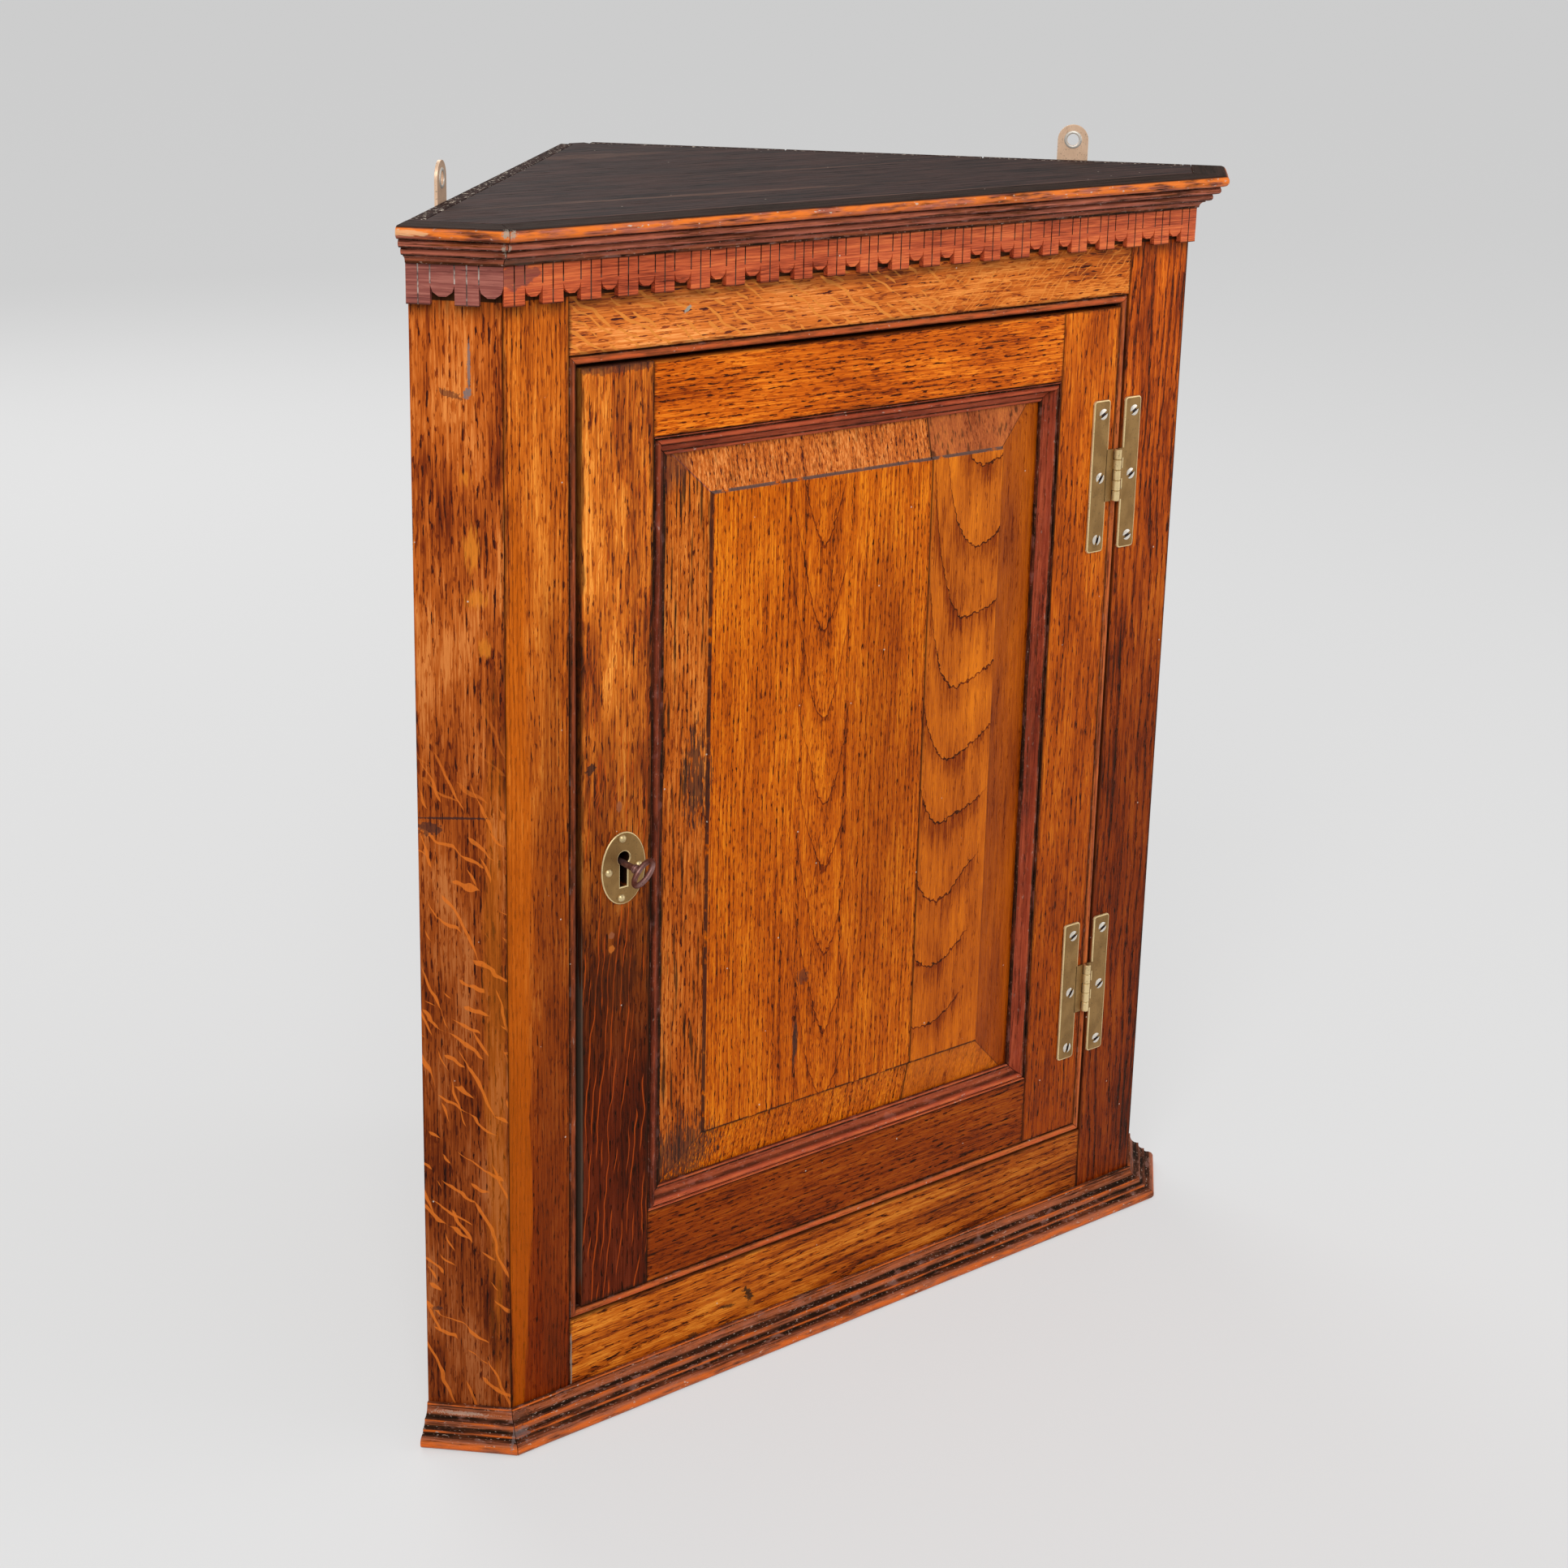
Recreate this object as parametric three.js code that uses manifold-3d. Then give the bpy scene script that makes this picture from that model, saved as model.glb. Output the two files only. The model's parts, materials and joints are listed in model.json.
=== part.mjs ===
// Oak hanging corner cupboard with one panelled door, in millimetres, +Z up, front towards -Y.
import * as THREE from 'three';
import { mergeVertices } from 'three/addons/utils/BufferGeometryUtils.js';
import Module from 'manifold-3d';

// Carcase sizes
const bodyHeight = 866;
const frontWidth = 620;
const returnWidth = 60.6;
const wallAngle = Math.PI / 4;
const boardThickness = 16;
const frameThickness = 19;
const plankThickness = 10;
const returnTongue = 6;
const cornerFlat = 30;
const cornerPostArm = 30;
const planksPerWall = 3;
const plankGap = 0.8;

// Face frame sizes
const stileWidthLeft = 50;
const stileWidthRight = 61;
const frameTopRail = 72;
const frameBottomRail = 61;

// Door sizes
const beadWidth = 7;
const beadNose = 3;
const doorThickness = 20;
const doorGapLock = 2.5;
const doorGapHinge = 1;
const doorGapTop = 2.2;
const doorGapBottom = 1.2;
const doorStileWidth = 58;
const doorTopRail = 51.5;
const doorBottomRail = 57;

// Panel sizes
const grooveDepth = 8;
const panelTongue = 6;
const tongueFront = 9.6;
const bevelFront = 3;
const fieldFront = 1;
const fieldInsetLeft = 51;
const fieldInsetRight = 56;
const fieldInsetTop = 45;
const fieldInsetBottom = 49;
const narrowBoardWidth = 125.5;
const panelSlack = 1.5;

// Panel moulding sizes, from the sight edge inwards
const mouldingWidth = 15;
const edgeFillet = 1.3;
const quirkWidth = 1.3;
const quirkDepth = 1.5;
const beadRound = 4;
const ogeeWidth = 5.6;
const innerFilletDepth = 6.8;

// Tenon sizes
const tenonLength = 32;
const tenonThickness = 6.4;
const tenonShoulder = 9;

// Cornice sizes
const lipReach = 28;
const lipHeight = 8.6;
const reedHeights = [5.8, 5.4];
const reedReaches = [22.4, 16.6];
const coveHeight = 5.9;
const coveReach = 11;
const coveFoot = 6.4;

// Frieze sizes
const friezeThickness = 4.8;
const tabDrop = 26;
const tongueRise = 4.5;
const tongueBow = 4;
const tabWidth = 15.6;
const frontTabs = 22;
const returnTabs = 2;
const kerfWidth = 0.9;
const kerfDepth = 1.5;

// Base moulding sizes, one row for each hollow from the top: reach and height of its fillet
const baseHeight = 25;
const baseTopFillet = 3.2;
const baseFilletDrop = 1.7;
const hollowReaches = [9.2, 14.4, 18.2];
const hollowDrops = [6.7, 3.2, 1.2];
const baseStep = 1.7;
const baseBullnose = 4.4;

// Shelf sizes
const shelfThickness = 12;
const shelfFront = 58;
const shelfHeights = [300, 545];
const bearerHeight = 18;
const bearerThickness = 13;
const bearerFrontSetback = 95;
const bearerBackSetback = 82.8;

// Hinge sizes
const lowerHingeRise = 123.3;
const upperHingeDrop = 130.1;
const hingeLength = 120;
const leafWidth = 17.5;
const leafThickness = 1.8;
const doorLeafEdge = 8.8;
const frameLeafEdge = 6.8;
const barrelLength = 41;
const barrelRadius = 3.1;
const barrelLift = 3.4;
const hingeAxisOffset = 1.5;
const knuckles = 5;
const knuckleGap = 0.3;
const pinRadius = 1.3;
const pinClearance = 0.12;

// Escutcheon, lock and key sizes
const escutcheonWidth = 37;
const escutcheonHeight = 53.5;
const plateThickness = 1.6;
const plateDrop = 3.8;
const lockBackset = 34.5;
const lockHeight = 420;
const keyholeRise = 3.6;
const keyholeRadius = 5;
const keyholeSlot = 21;
const keyholeSlotWidth = 6.2;
const lockWidth = 60;
const lockAbove = 25;
const lockBelow = 16;
const lockDepth = 13;
const lockWall = 2;
const lockEdge = 1;
const boltHeight = 10;
const boltThickness = 5;
const boltLength = 44;
const boltLift = 10.4;
const boltFace = 1;
const keyTurnAtRest = 42 * Math.PI / 180;
const shaftRadius = 2.5;
const collarRadius = 3.5;
const collarLength = 3.4;
const shaftReach = 17.5;
const bowLong = 24;
const bowShort = 15;
const bowSection = 3;
const bitRadius = 9.4;
const bitWidth = 6;
const bitThickness = 2.2;
const bitSetback = 3;

// Hanging plate sizes
const hangerSetback = 93;
const hangerWidth = 24;
const hangerLength = 78;
const hangerAbove = 27.5;
const hangerThickness = 2.2;
const hangerHole = 4.6;
const hangerHoleDrop = 11.8;

// Clearances and curve steps
const seat = 0.3;
const mitreGap = 0.12;
const overrun = 5;
const roundSides = 20;
const arcSteps = 5;

// Worked-out sizes
const wallCos = Math.cos(wallAngle);
const wallSin = Math.sin(wallAngle);
const mitreSlope = Math.tan(wallAngle / 2);
const halfWidth = frontWidth / 2;
const returnEndX = halfWidth + returnWidth * wallCos;
const returnEndY = returnWidth * wallSin;
const wallLength = returnEndX / wallCos;
const cornerY = returnEndY + returnEndX;
const backY = cornerY - cornerFlat / 2;
const plankRun = (returnEndX - cornerFlat / 2) / wallCos;
const openingLeft = -halfWidth + stileWidthLeft;
const openingRight = halfWidth - stileWidthRight;
const openingBottom = boardThickness + frameBottomRail;
const openingTop = bodyHeight - boardThickness - frameTopRail;
const doorLeft = openingLeft + beadWidth + doorGapLock;
const doorRight = openingRight - beadWidth - doorGapHinge;
const doorBottom = openingBottom + beadWidth + doorGapBottom;
const doorTop = openingTop - beadWidth - doorGapTop;
const sightLeft = doorLeft + doorStileWidth;
const sightRight = doorRight - doorStileWidth;
const sightBottom = doorBottom + doorBottomRail;
const sightTop = doorTop - doorTopRail;
const corniceHeight = lipHeight + reedHeights[0] + reedHeights[1] + coveHeight;
const friezeTop = bodyHeight - corniceHeight;
const hingeX = doorRight + doorGapHinge + hingeAxisOffset;
const hingeHeights = [doorBottom + lowerHingeRise, doorTop - upperHingeDrop];
const keyX = doorLeft + lockBackset;
const bowReach = shaftReach + bowShort;
const frontReach = Math.max(lipReach, bowReach);

// Finishes, as the photograph shows them
const finish = (color, roughness, metalness = 0) =>
  new THREE.MeshStandardMaterial({ color, roughness, metalness });
const finishes = {
  oak: () => finish(0xa9601f, 0.45),
  redOak: () => finish(0x7e3a1c, 0.4),
  darkOak: () => finish(0x4b3a31, 0.7),
  plainOak: () => finish(0x8a6238, 0.75),
  brass: () => finish(0x9c8450, 0.4, 1),
  iron: () => finish(0x5e4a46, 0.5, 1),
};

const wasm = await Module();
wasm.setup();

// A closed geometry as a solid that can be cut and joined
function solidOf(geometry) {
  const bare = geometry.clone();
  bare.deleteAttribute('normal');
  bare.deleteAttribute('uv');
  const merged = mergeVertices(bare);
  return new wasm.Manifold(new wasm.Mesh({
    numProp: 3,
    vertProperties: new Float32Array(merged.attributes.position.array),
    triVerts: new Uint32Array(merged.index.array),
  }));
}

// A cut solid back as a geometry
function geometryOf(solid) {
  const mesh = solid.getMesh();
  const geometry = new THREE.BufferGeometry();
  geometry.setAttribute('position', new THREE.BufferAttribute(new Float32Array(mesh.vertProperties), 3));
  geometry.setIndex(new THREE.BufferAttribute(new Uint32Array(mesh.triVerts), 1));
  geometry.computeVertexNormals();
  return geometry;
}

const join = (base, ...more) =>
  geometryOf(more.reduce((solid, piece) => solid.add(solidOf(piece)), solidOf(base)));
const cut = (base, ...tools) =>
  geometryOf(tools.reduce((solid, tool) => solid.subtract(solidOf(tool)), solidOf(base)));

// A box between two opposite corners
function block(x0, x1, y0, y1, z0, z1) {
  const geometry = new THREE.BoxGeometry(x1 - x0, y1 - y0, z1 - z0);
  return geometry.translate((x0 + x1) / 2, (y0 + y1) / 2, (z0 + z1) / 2);
}

// A flat outline in plan, [x, y] points, raised from z0 to z1
function slab(outline, z0, z1) {
  const shape = new THREE.Shape(outline.map(([x, y]) => new THREE.Vector2(x, y)));
  const geometry = new THREE.ExtrudeGeometry(shape, { depth: z1 - z0, bevelEnabled: false });
  return geometry.translate(0, 0, z0);
}

// A round bar along Y, from y0 to y1, about the line x, z
function barAlongY(radius, y0, y1, x, z) {
  const geometry = new THREE.CylinderGeometry(radius, radius, y1 - y0, roundSides);
  return geometry.translate(x, (y0 + y1) / 2, z);
}

// A round bar along Z, from z0 to z1, about the line x, y
function barAlongZ(radius, z0, z1, x, y) {
  const geometry = new THREE.CylinderGeometry(radius, radius, z1 - z0, roundSides);
  return geometry.rotateX(Math.PI / 2).translate(x, y, (z0 + z1) / 2);
}

// Skin through rings of equal count, closed by a flat cap at each end
function loft(rings, capOutline) {
  const count = rings[0].length;
  const points = rings.flat();
  const faces = [];
  for (let ring = 0; ring + 1 < rings.length; ring += 1) {
    for (let index = 0; index < count; index += 1) {
      const a = ring * count + index;
      const b = ring * count + (index + 1) % count;
      faces.push([a, b, b + count], [a, b + count, a + count]);
    }
  }
  const flat = capOutline.map(([x, y]) => new THREE.Vector2(x, y));
  const clockwise = THREE.ShapeUtils.isClockWise(flat);
  const last = (rings.length - 1) * count;
  for (const [a, b, c] of THREE.ShapeUtils.triangulateShape(flat, [])) {
    const [second, third] = clockwise ? [c, b] : [b, c];
    faces.push([a, third, second], [last + a, last + second, last + third]);
  }
  let volume = 0;
  const corner = (index) => new THREE.Vector3(...points[index]);
  for (const [a, b, c] of faces) {
    volume += corner(a).dot(corner(b).cross(corner(c)));
  }
  const outward = volume > 0 ? faces : faces.map(([a, b, c]) => [a, c, b]);
  const geometry = new THREE.BufferGeometry();
  geometry.setAttribute('position', new THREE.Float32BufferAttribute(points.flat(), 3));
  geometry.setIndex(outward.flat());
  geometry.computeVertexNormals();
  return geometry;
}

// Points of an arc in a section, from one angle to another
function arc(centreA, centreB, radiusA, radiusB, from, to, steps = arcSteps) {
  const points = [];
  for (let step = 0; step <= steps; step += 1) {
    const angle = from + (to - from) * step / steps;
    points.push([centreA + radiusA * Math.cos(angle), centreB + radiusB * Math.sin(angle)]);
  }
  return points;
}

// A moulding along a face: section points are [reach out of the face, height]
function mouldingRun(section, length, mitreStart, mitreEnd) {
  const start = section.map(([reach, height]) =>
    [(mitreStart ? mitreGap - reach * mitreSlope : 0), -reach, height]);
  const end = section.map(([reach, height]) =>
    [length + (mitreEnd ? reach * mitreSlope - mitreGap : 0), -reach, height]);
  return loft([start, end], section);
}

// Cornice section: rounded lip, reeds stepping inwards and a cove, flush with the top
function corniceSection() {
  const points = [[seat, bodyHeight]];
  const lipRound = lipHeight / 2;
  points.push(...arc(lipReach - lipRound, bodyHeight - lipRound, lipRound, lipRound, Math.PI / 2, -Math.PI / 2));
  let height = bodyHeight - lipHeight;
  reedHeights.forEach((reed, index) => {
    const round = reed / 2;
    points.push(...arc(reedReaches[index] - round, height - round, round, round, Math.PI / 2, -Math.PI / 2));
    height -= reed;
  });
  points.push([coveReach, height]);
  points.push(...arc(coveReach, friezeTop, coveReach - coveFoot, coveHeight - edgeFillet, Math.PI / 2, Math.PI));
  points.push([seat, friezeTop]);
  return points;
}

// Base section: three hollows with fillets stepping outwards, and a bullnose at the foot
function baseSection() {
  const points = [[seat, baseHeight], [baseTopFillet, baseHeight]];
  let reach = baseTopFillet;
  let height = baseHeight - baseFilletDrop;
  hollowReaches.forEach((outer, index) => {
    const drop = hollowDrops[index];
    points.push(...arc(outer, height, outer - reach, drop, Math.PI, Math.PI * 1.5));
    reach = outer + baseStep;
    height -= drop;
    points.push([reach, height]);
    height -= baseFilletDrop;
  });
  points.push(...arc(reach, baseBullnose, baseBullnose, baseBullnose, Math.PI / 2, -Math.PI / 2));
  points.push([seat, 0]);
  return points;
}

// Cock bead section: [inset from the opening's edge, depth behind the face]
function beadSection() {
  const round = beadWidth / 2;
  return [
    [seat, frameThickness],
    ...arc(round, beadNose, round - seat, beadNose, Math.PI, Math.PI * 2),
    [beadWidth, frameThickness],
  ];
}

// Panel moulding section: fillet, quirk, bead, ogee and inner fillet
function panelMouldingSection() {
  const beadStart = edgeFillet + quirkWidth;
  const ogeeStart = beadStart + beadRound;
  const ogeeEnd = ogeeStart + ogeeWidth;
  const foot = tongueFront - seat;
  const round = beadRound / 2;
  return [
    [seat, foot],
    [seat, 0],
    [edgeFillet, 0],
    [edgeFillet, quirkDepth],
    ...arc(beadStart + round, quirkDepth, round, quirkDepth + fieldFront, Math.PI, Math.PI * 2),
    ...arc(ogeeEnd, quirkDepth, ogeeWidth, innerFilletDepth - quirkDepth, Math.PI, Math.PI / 2).slice(1),
    [mouldingWidth, innerFilletDepth],
    [mouldingWidth, foot],
  ];
}

// Four mitred strips round a rectangle, each set in from it by its section
function mitredSurround(section, left, right, bottom, top) {
  const corners = (inset) => ({
    leftX: left + inset,
    rightX: right - inset,
    bottomZ: bottom + inset,
    topZ: top - inset,
  });
  const side = (startOf, endOf) =>
    loft([
      section.map(([inset, depth]) => startOf(corners(inset), depth)),
      section.map(([inset, depth]) => endOf(corners(inset), depth)),
    ], section);
  return {
    top: side((c, y) => [c.leftX + mitreGap, y, c.topZ], (c, y) => [c.rightX - mitreGap, y, c.topZ]),
    bottom: side((c, y) => [c.leftX + mitreGap, y, c.bottomZ], (c, y) => [c.rightX - mitreGap, y, c.bottomZ]),
    left: side((c, y) => [c.leftX, y, c.bottomZ + mitreGap], (c, y) => [c.leftX, y, c.topZ - mitreGap]),
    right: side((c, y) => [c.rightX, y, c.bottomZ + mitreGap], (c, y) => [c.rightX, y, c.topZ - mitreGap]),
  };
}

// Fretted frieze strip: square tabs and round tongues by turns, with saw kerfs up the face
function friezeRun(length, tabs, tongueFirst, tongueLast, mitreStart, mitreEnd) {
  const startAt = (depth) => (mitreStart ? mitreGap - depth * mitreSlope : 0);
  const endAt = (depth) => length + (mitreEnd ? depth * mitreSlope - mitreGap : 0);
  const faceStart = startAt(friezeThickness);
  const faceEnd = endAt(friezeThickness);
  const tongues = tabs - 1 + (tongueFirst ? 1 : 0) + (tongueLast ? 1 : 0);
  const tongueWidth = (faceEnd - faceStart - tabs * tabWidth) / tongues;
  const bottom = friezeTop - tabDrop;
  const outline = [[faceStart, friezeTop]];
  const kerfs = [];
  let place = faceStart;
  let isTongue = tongueFirst;
  for (let cell = 0; cell < tabs + tongues; cell += 1) {
    const width = isTongue ? tongueWidth : tabWidth;
    if (isTongue) {
      const notch = bottom + tongueRise + tongueBow;
      outline.push(...arc(place + width / 2, notch, width / 2, tongueBow, Math.PI, Math.PI * 2));
    } else {
      outline.push([place, bottom], [place + width, bottom]);
      kerfs.push([place + width / 2, bottom - overrun]);
    }
    place += width;
    if (cell + 1 < tabs + tongues) {
      kerfs.push([place, bottom + tongueRise + tongueBow + kerfWidth / 2]);
    }
    isTongue = !isTongue;
  }
  outline.push([faceEnd, friezeTop]);
  const endwise = (u, depth) => Math.min(Math.max(u, startAt(depth)), endAt(depth));
  const ring = (depth) => outline.map(([u, z]) => [endwise(u, depth), -depth, z]);
  const board = loft([ring(seat), ring(friezeThickness)], outline);
  const saws = kerfs.map(([u, z]) => block(u - kerfWidth / 2, u + kerfWidth / 2,
    -friezeThickness - overrun, -friezeThickness + kerfDepth, z, friezeTop + overrun));
  return cut(board, ...saws);
}

// The boards' plan: face, returns and walls, stepped for the planks, ending in the flat back corner
function boardPlan() {
  const inset = plankThickness + seat;
  const shoulderX = returnEndX - returnTongue * wallCos;
  const shoulderY = returnEndY + returnTongue * wallSin;
  const innerX = cornerFlat / 2 - inset * wallCos;
  const innerY = backY - inset * wallSin;
  const rightHalf = [
    [halfWidth, 0],
    [returnEndX, returnEndY],
    [shoulderX, shoulderY],
    [shoulderX - inset * wallSin, shoulderY - inset * wallCos],
    [innerX, innerY],
    [innerX, backY],
  ];
  const leftHalf = rightHalf.map(([x, y]) => [-x, y]).reverse();
  return [...leftHalf, ...rightHalf];
}

// The corner post's plan, in the angle between the two walls
function postPlan() {
  const innerX = (cornerFlat / 2) - (plankThickness + seat) * wallCos;
  const innerY = backY - (plankThickness + seat) * wallSin;
  const armX = innerX + cornerPostArm * wallCos;
  const armY = innerY - cornerPostArm * wallSin;
  return [[-innerX, backY], [-innerX, innerY], [-armX, armY], [armX, armY], [innerX, innerY], [innerX, backY]];
}

// A shelf's plan, notched round the corner post, with its front edge set back
function shelfPlan() {
  const wallInset = (plankThickness + seat) / wallSin;
  const frontX = cornerY - wallInset - shelfFront;
  const armX = cornerFlat / 2 + (cornerPostArm - plankThickness) * wallCos;
  const postFront = backY - (plankThickness + seat + cornerPostArm) * wallSin - seat;
  const sideX = cornerY - wallInset - postFront;
  const cornerX = Math.min(armX, sideX);
  return [[-frontX, shelfFront], [frontX, shelfFront], [cornerX, postFront], [-cornerX, postFront]];
}

// A face-frame stile's plan, mitred into the return at the arris
function frameStilePlan(innerX, side) {
  const arris = frameThickness * mitreSlope;
  return [
    [side * (halfWidth - mitreGap), 0],
    [innerX, 0],
    [innerX, frameThickness],
    [side * (halfWidth - arris - mitreGap), frameThickness],
  ];
}

// A return board's plan along its own face, mitred at the arris and rebated for the planks
function returnPlan() {
  const arris = frameThickness * mitreSlope;
  return [
    [mitreGap, 0],
    [returnWidth, 0],
    [returnWidth, returnTongue],
    [returnWidth - plankThickness - seat, returnTongue],
    [returnWidth - plankThickness - seat, frameThickness],
    [arris + mitreGap, frameThickness],
  ];
}

// A rail with a tenon at each end, and the mortise tools that receive them
function tenonedRail(left, right, bottom, top, thickness) {
  const tenonFront = (thickness - tenonThickness) / 2;
  const rail = block(left, right, 0, thickness, bottom, top);
  const tenon = block(left - tenonLength, right + tenonLength, tenonFront, tenonFront + tenonThickness,
    bottom + tenonShoulder, top - tenonShoulder);
  return join(rail, tenon);
}

function mortise(left, right, bottom, top, thickness) {
  const tenonFront = (thickness - tenonThickness) / 2;
  return block(left, right, tenonFront - seat, tenonFront + tenonThickness + seat,
    bottom + tenonShoulder - seat, top - tenonShoulder + seat);
}

// One raised-and-fielded panel board: tongue, bevels and field between two x limits
function panelBoard(isLeft) {
  const reach = grooveDepth - panelSlack;
  const outerLeft = sightLeft - reach;
  const outerRight = sightRight + reach;
  const splitX = sightRight - narrowBoardWidth;
  const rectangle = (left, right, bottom, top, y) => {
    const x0 = isLeft ? left : splitX + mitreGap;
    const x1 = isLeft ? splitX - mitreGap : right;
    return [[x0, y, bottom], [x1, y, bottom], [x1, y, top], [x0, y, top]];
  };
  const outer = (y) => rectangle(outerLeft, outerRight, sightBottom - reach, sightTop + reach, y);
  const margin = (y) => rectangle(sightLeft + mouldingWidth, sightRight - mouldingWidth,
    sightBottom + mouldingWidth, sightTop - mouldingWidth, y);
  const field = (y) => rectangle(sightLeft + fieldInsetLeft, sightRight - fieldInsetRight,
    sightBottom + fieldInsetBottom, sightTop - fieldInsetTop, y);
  const rings = [outer(tongueFront + panelTongue), outer(tongueFront), margin(tongueFront),
    field(bevelFront), field(fieldFront)];
  return loft(rings, [[0, 0], [1, 0], [1, 1], [0, 1]]);
}

// A keyhole tool: round hole and flared slot, through from y0 to y1
function keyholeTool(y0, y1) {
  const round = barAlongY(keyholeRadius, y0, y1, keyX, lockHeight + keyholeRise);
  const slotTop = lockHeight + keyholeRise;
  const slot = block(keyX - keyholeSlotWidth / 2, keyX + keyholeSlotWidth / 2, y0, y1, slotTop - keyholeSlot, slotTop);
  return join(round, slot);
}

// One hinge leaf: plate, tab and its share of the knuckles round the pin
function hingeLeaf(centreZ, isFrame) {
  const side = isFrame ? 1 : -1;
  const nearEdge = hingeX + side * (isFrame ? frameLeafEdge : doorLeafEdge);
  const farEdge = nearEdge + side * leafWidth;
  const plate = block(Math.min(nearEdge, farEdge), Math.max(nearEdge, farEdge), -leafThickness, 0,
    centreZ - hingeLength / 2, centreZ + hingeLength / 2);
  const pitch = barrelLength / knuckles;
  const pieces = [];
  for (let index = isFrame ? 0 : 1; index < knuckles; index += 2) {
    const z0 = centreZ - barrelLength / 2 + index * pitch + knuckleGap / 2;
    const z1 = z0 + pitch - knuckleGap;
    pieces.push(barAlongZ(barrelRadius, z0, z1, hingeX, -barrelLift));
    const rooted = nearEdge + side * leafThickness;
    pieces.push(block(Math.min(hingeX, rooted), Math.max(hingeX, rooted), -leafThickness, 0, z0, z1));
  }
  const bore = barAlongZ(pinRadius + pinClearance, centreZ - barrelLength, centreZ + barrelLength,
    hingeX, -barrelLift);
  return cut(join(plate, ...pieces), bore);
}

const meshOf = (name, geometry, material) => {
  const mesh = new THREE.Mesh(geometry, material);
  mesh.name = name;
  return mesh;
};

// Frames of reference: the face, the two returns and the two walls
function frameAt(x, y, turn) {
  const frame = new THREE.Group();
  frame.position.set(x, y, 0);
  frame.rotation.z = turn;
  return frame;
}

function addBoards(carcase) {
  carcase.add(meshOf('top_board', slab(boardPlan(), bodyHeight - boardThickness, bodyHeight), finishes.darkOak()));
  carcase.add(meshOf('bottom_board', slab(boardPlan(), 0, boardThickness), finishes.plainOak()));
  carcase.add(meshOf('corner_post', slab(postPlan(), boardThickness, bodyHeight - boardThickness),
    finishes.plainOak()));
}

function addBackPlanks(wall, side) {
  const firstX = side === 'left' ? returnTongue + seat : wallLength - plankRun;
  const lastX = side === 'left' ? plankRun : wallLength - returnTongue - seat;
  const width = (lastX - firstX - plankGap * (planksPerWall - 1)) / planksPerWall;
  for (let index = 0; index < planksPerWall; index += 1) {
    const x0 = firstX + index * (width + plankGap);
    wall.add(meshOf(`back_plank_${side}_${index + 1}`, block(x0, x0 + width, -plankThickness, 0, 0, bodyHeight),
      finishes.plainOak()));
  }
}

function addShelves(carcase, walls) {
  const names = ['lower', 'upper'];
  shelfHeights.forEach((height, index) => {
    carcase.add(meshOf(`shelf_${names[index]}`, slab(shelfPlan(), height, height + shelfThickness),
      finishes.plainOak()));
    for (const [side, wall] of Object.entries(walls)) {
      const isLeft = side === 'left';
      const x0 = isLeft ? bearerFrontSetback : wallLength - plankRun + bearerBackSetback;
      const x1 = isLeft ? plankRun - bearerBackSetback : wallLength - bearerFrontSetback;
      const inner = -plankThickness - seat;
      wall.add(meshOf(`shelf_bearer_${names[index]}_${side}`, block(x0, x1, inner - bearerThickness, inner,
        height - bearerHeight, height), finishes.plainOak()));
    }
  });
}

function addFaceFrame(carcase) {
  const low = boardThickness;
  const high = bodyHeight - boardThickness;
  const bottomRail = [openingLeft, openingRight, low, openingBottom, frameThickness];
  const topRail = [openingLeft, openingRight, openingTop, high, frameThickness];
  const ends = { left: [openingLeft - tenonLength - seat, openingLeft + overrun],
    right: [openingRight - overrun, openingRight + tenonLength + seat] };
  const stile = (side) => {
    const innerX = side === 'left' ? openingLeft : openingRight;
    const plan = frameStilePlan(innerX, side === 'left' ? -1 : 1);
    return cut(slab(plan, low, high),
      mortise(...ends[side], low, openingBottom, frameThickness),
      mortise(...ends[side], openingTop, high, frameThickness));
  };
  carcase.add(meshOf('frame_stile_left', stile('left'), finishes.oak()));
  carcase.add(meshOf('frame_stile_right', stile('right'), finishes.oak()));
  carcase.add(meshOf('frame_rail_top', tenonedRail(...topRail), finishes.oak()));
  carcase.add(meshOf('frame_rail_bottom', tenonedRail(...bottomRail), finishes.oak()));
  const beads = mitredSurround(beadSection(), openingLeft, openingRight, openingBottom, openingTop);
  for (const [side, geometry] of Object.entries(beads)) {
    carcase.add(meshOf(`cock_bead_${side}`, geometry, finishes.redOak()));
  }
}

function addReturns(frames) {
  const low = boardThickness;
  const high = bodyHeight - boardThickness;
  frames.right.add(meshOf('return_right', slab(returnPlan(), low, high), finishes.oak()));
  const mirrored = returnPlan().map(([x, y]) => [returnWidth - x, y]);
  frames.left.add(meshOf('return_left', slab(mirrored, low, high), finishes.oak()));
}

function addMouldings(frames) {
  const runs = [
    ['left', frames.left, returnWidth, false, true],
    ['front', frames.front, frontWidth, true, true],
    ['right', frames.right, returnWidth, true, false],
  ];
  for (const [side, frame, length, mitreStart, mitreEnd] of runs) {
    frame.add(meshOf(`cornice_${side}`, mouldingRun(corniceSection(), length, mitreStart, mitreEnd),
      finishes.redOak()));
    frame.add(meshOf(`base_moulding_${side}`, mouldingRun(baseSection(), length, mitreStart, mitreEnd),
      finishes.redOak()));
    const isFront = side === 'front';
    const frieze = friezeRun(length, isFront ? frontTabs : returnTabs, side === 'right', side === 'left',
      mitreStart, mitreEnd);
    frame.add(meshOf(`frieze_${side}`, frieze, finishes.redOak()));
  }
}

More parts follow.
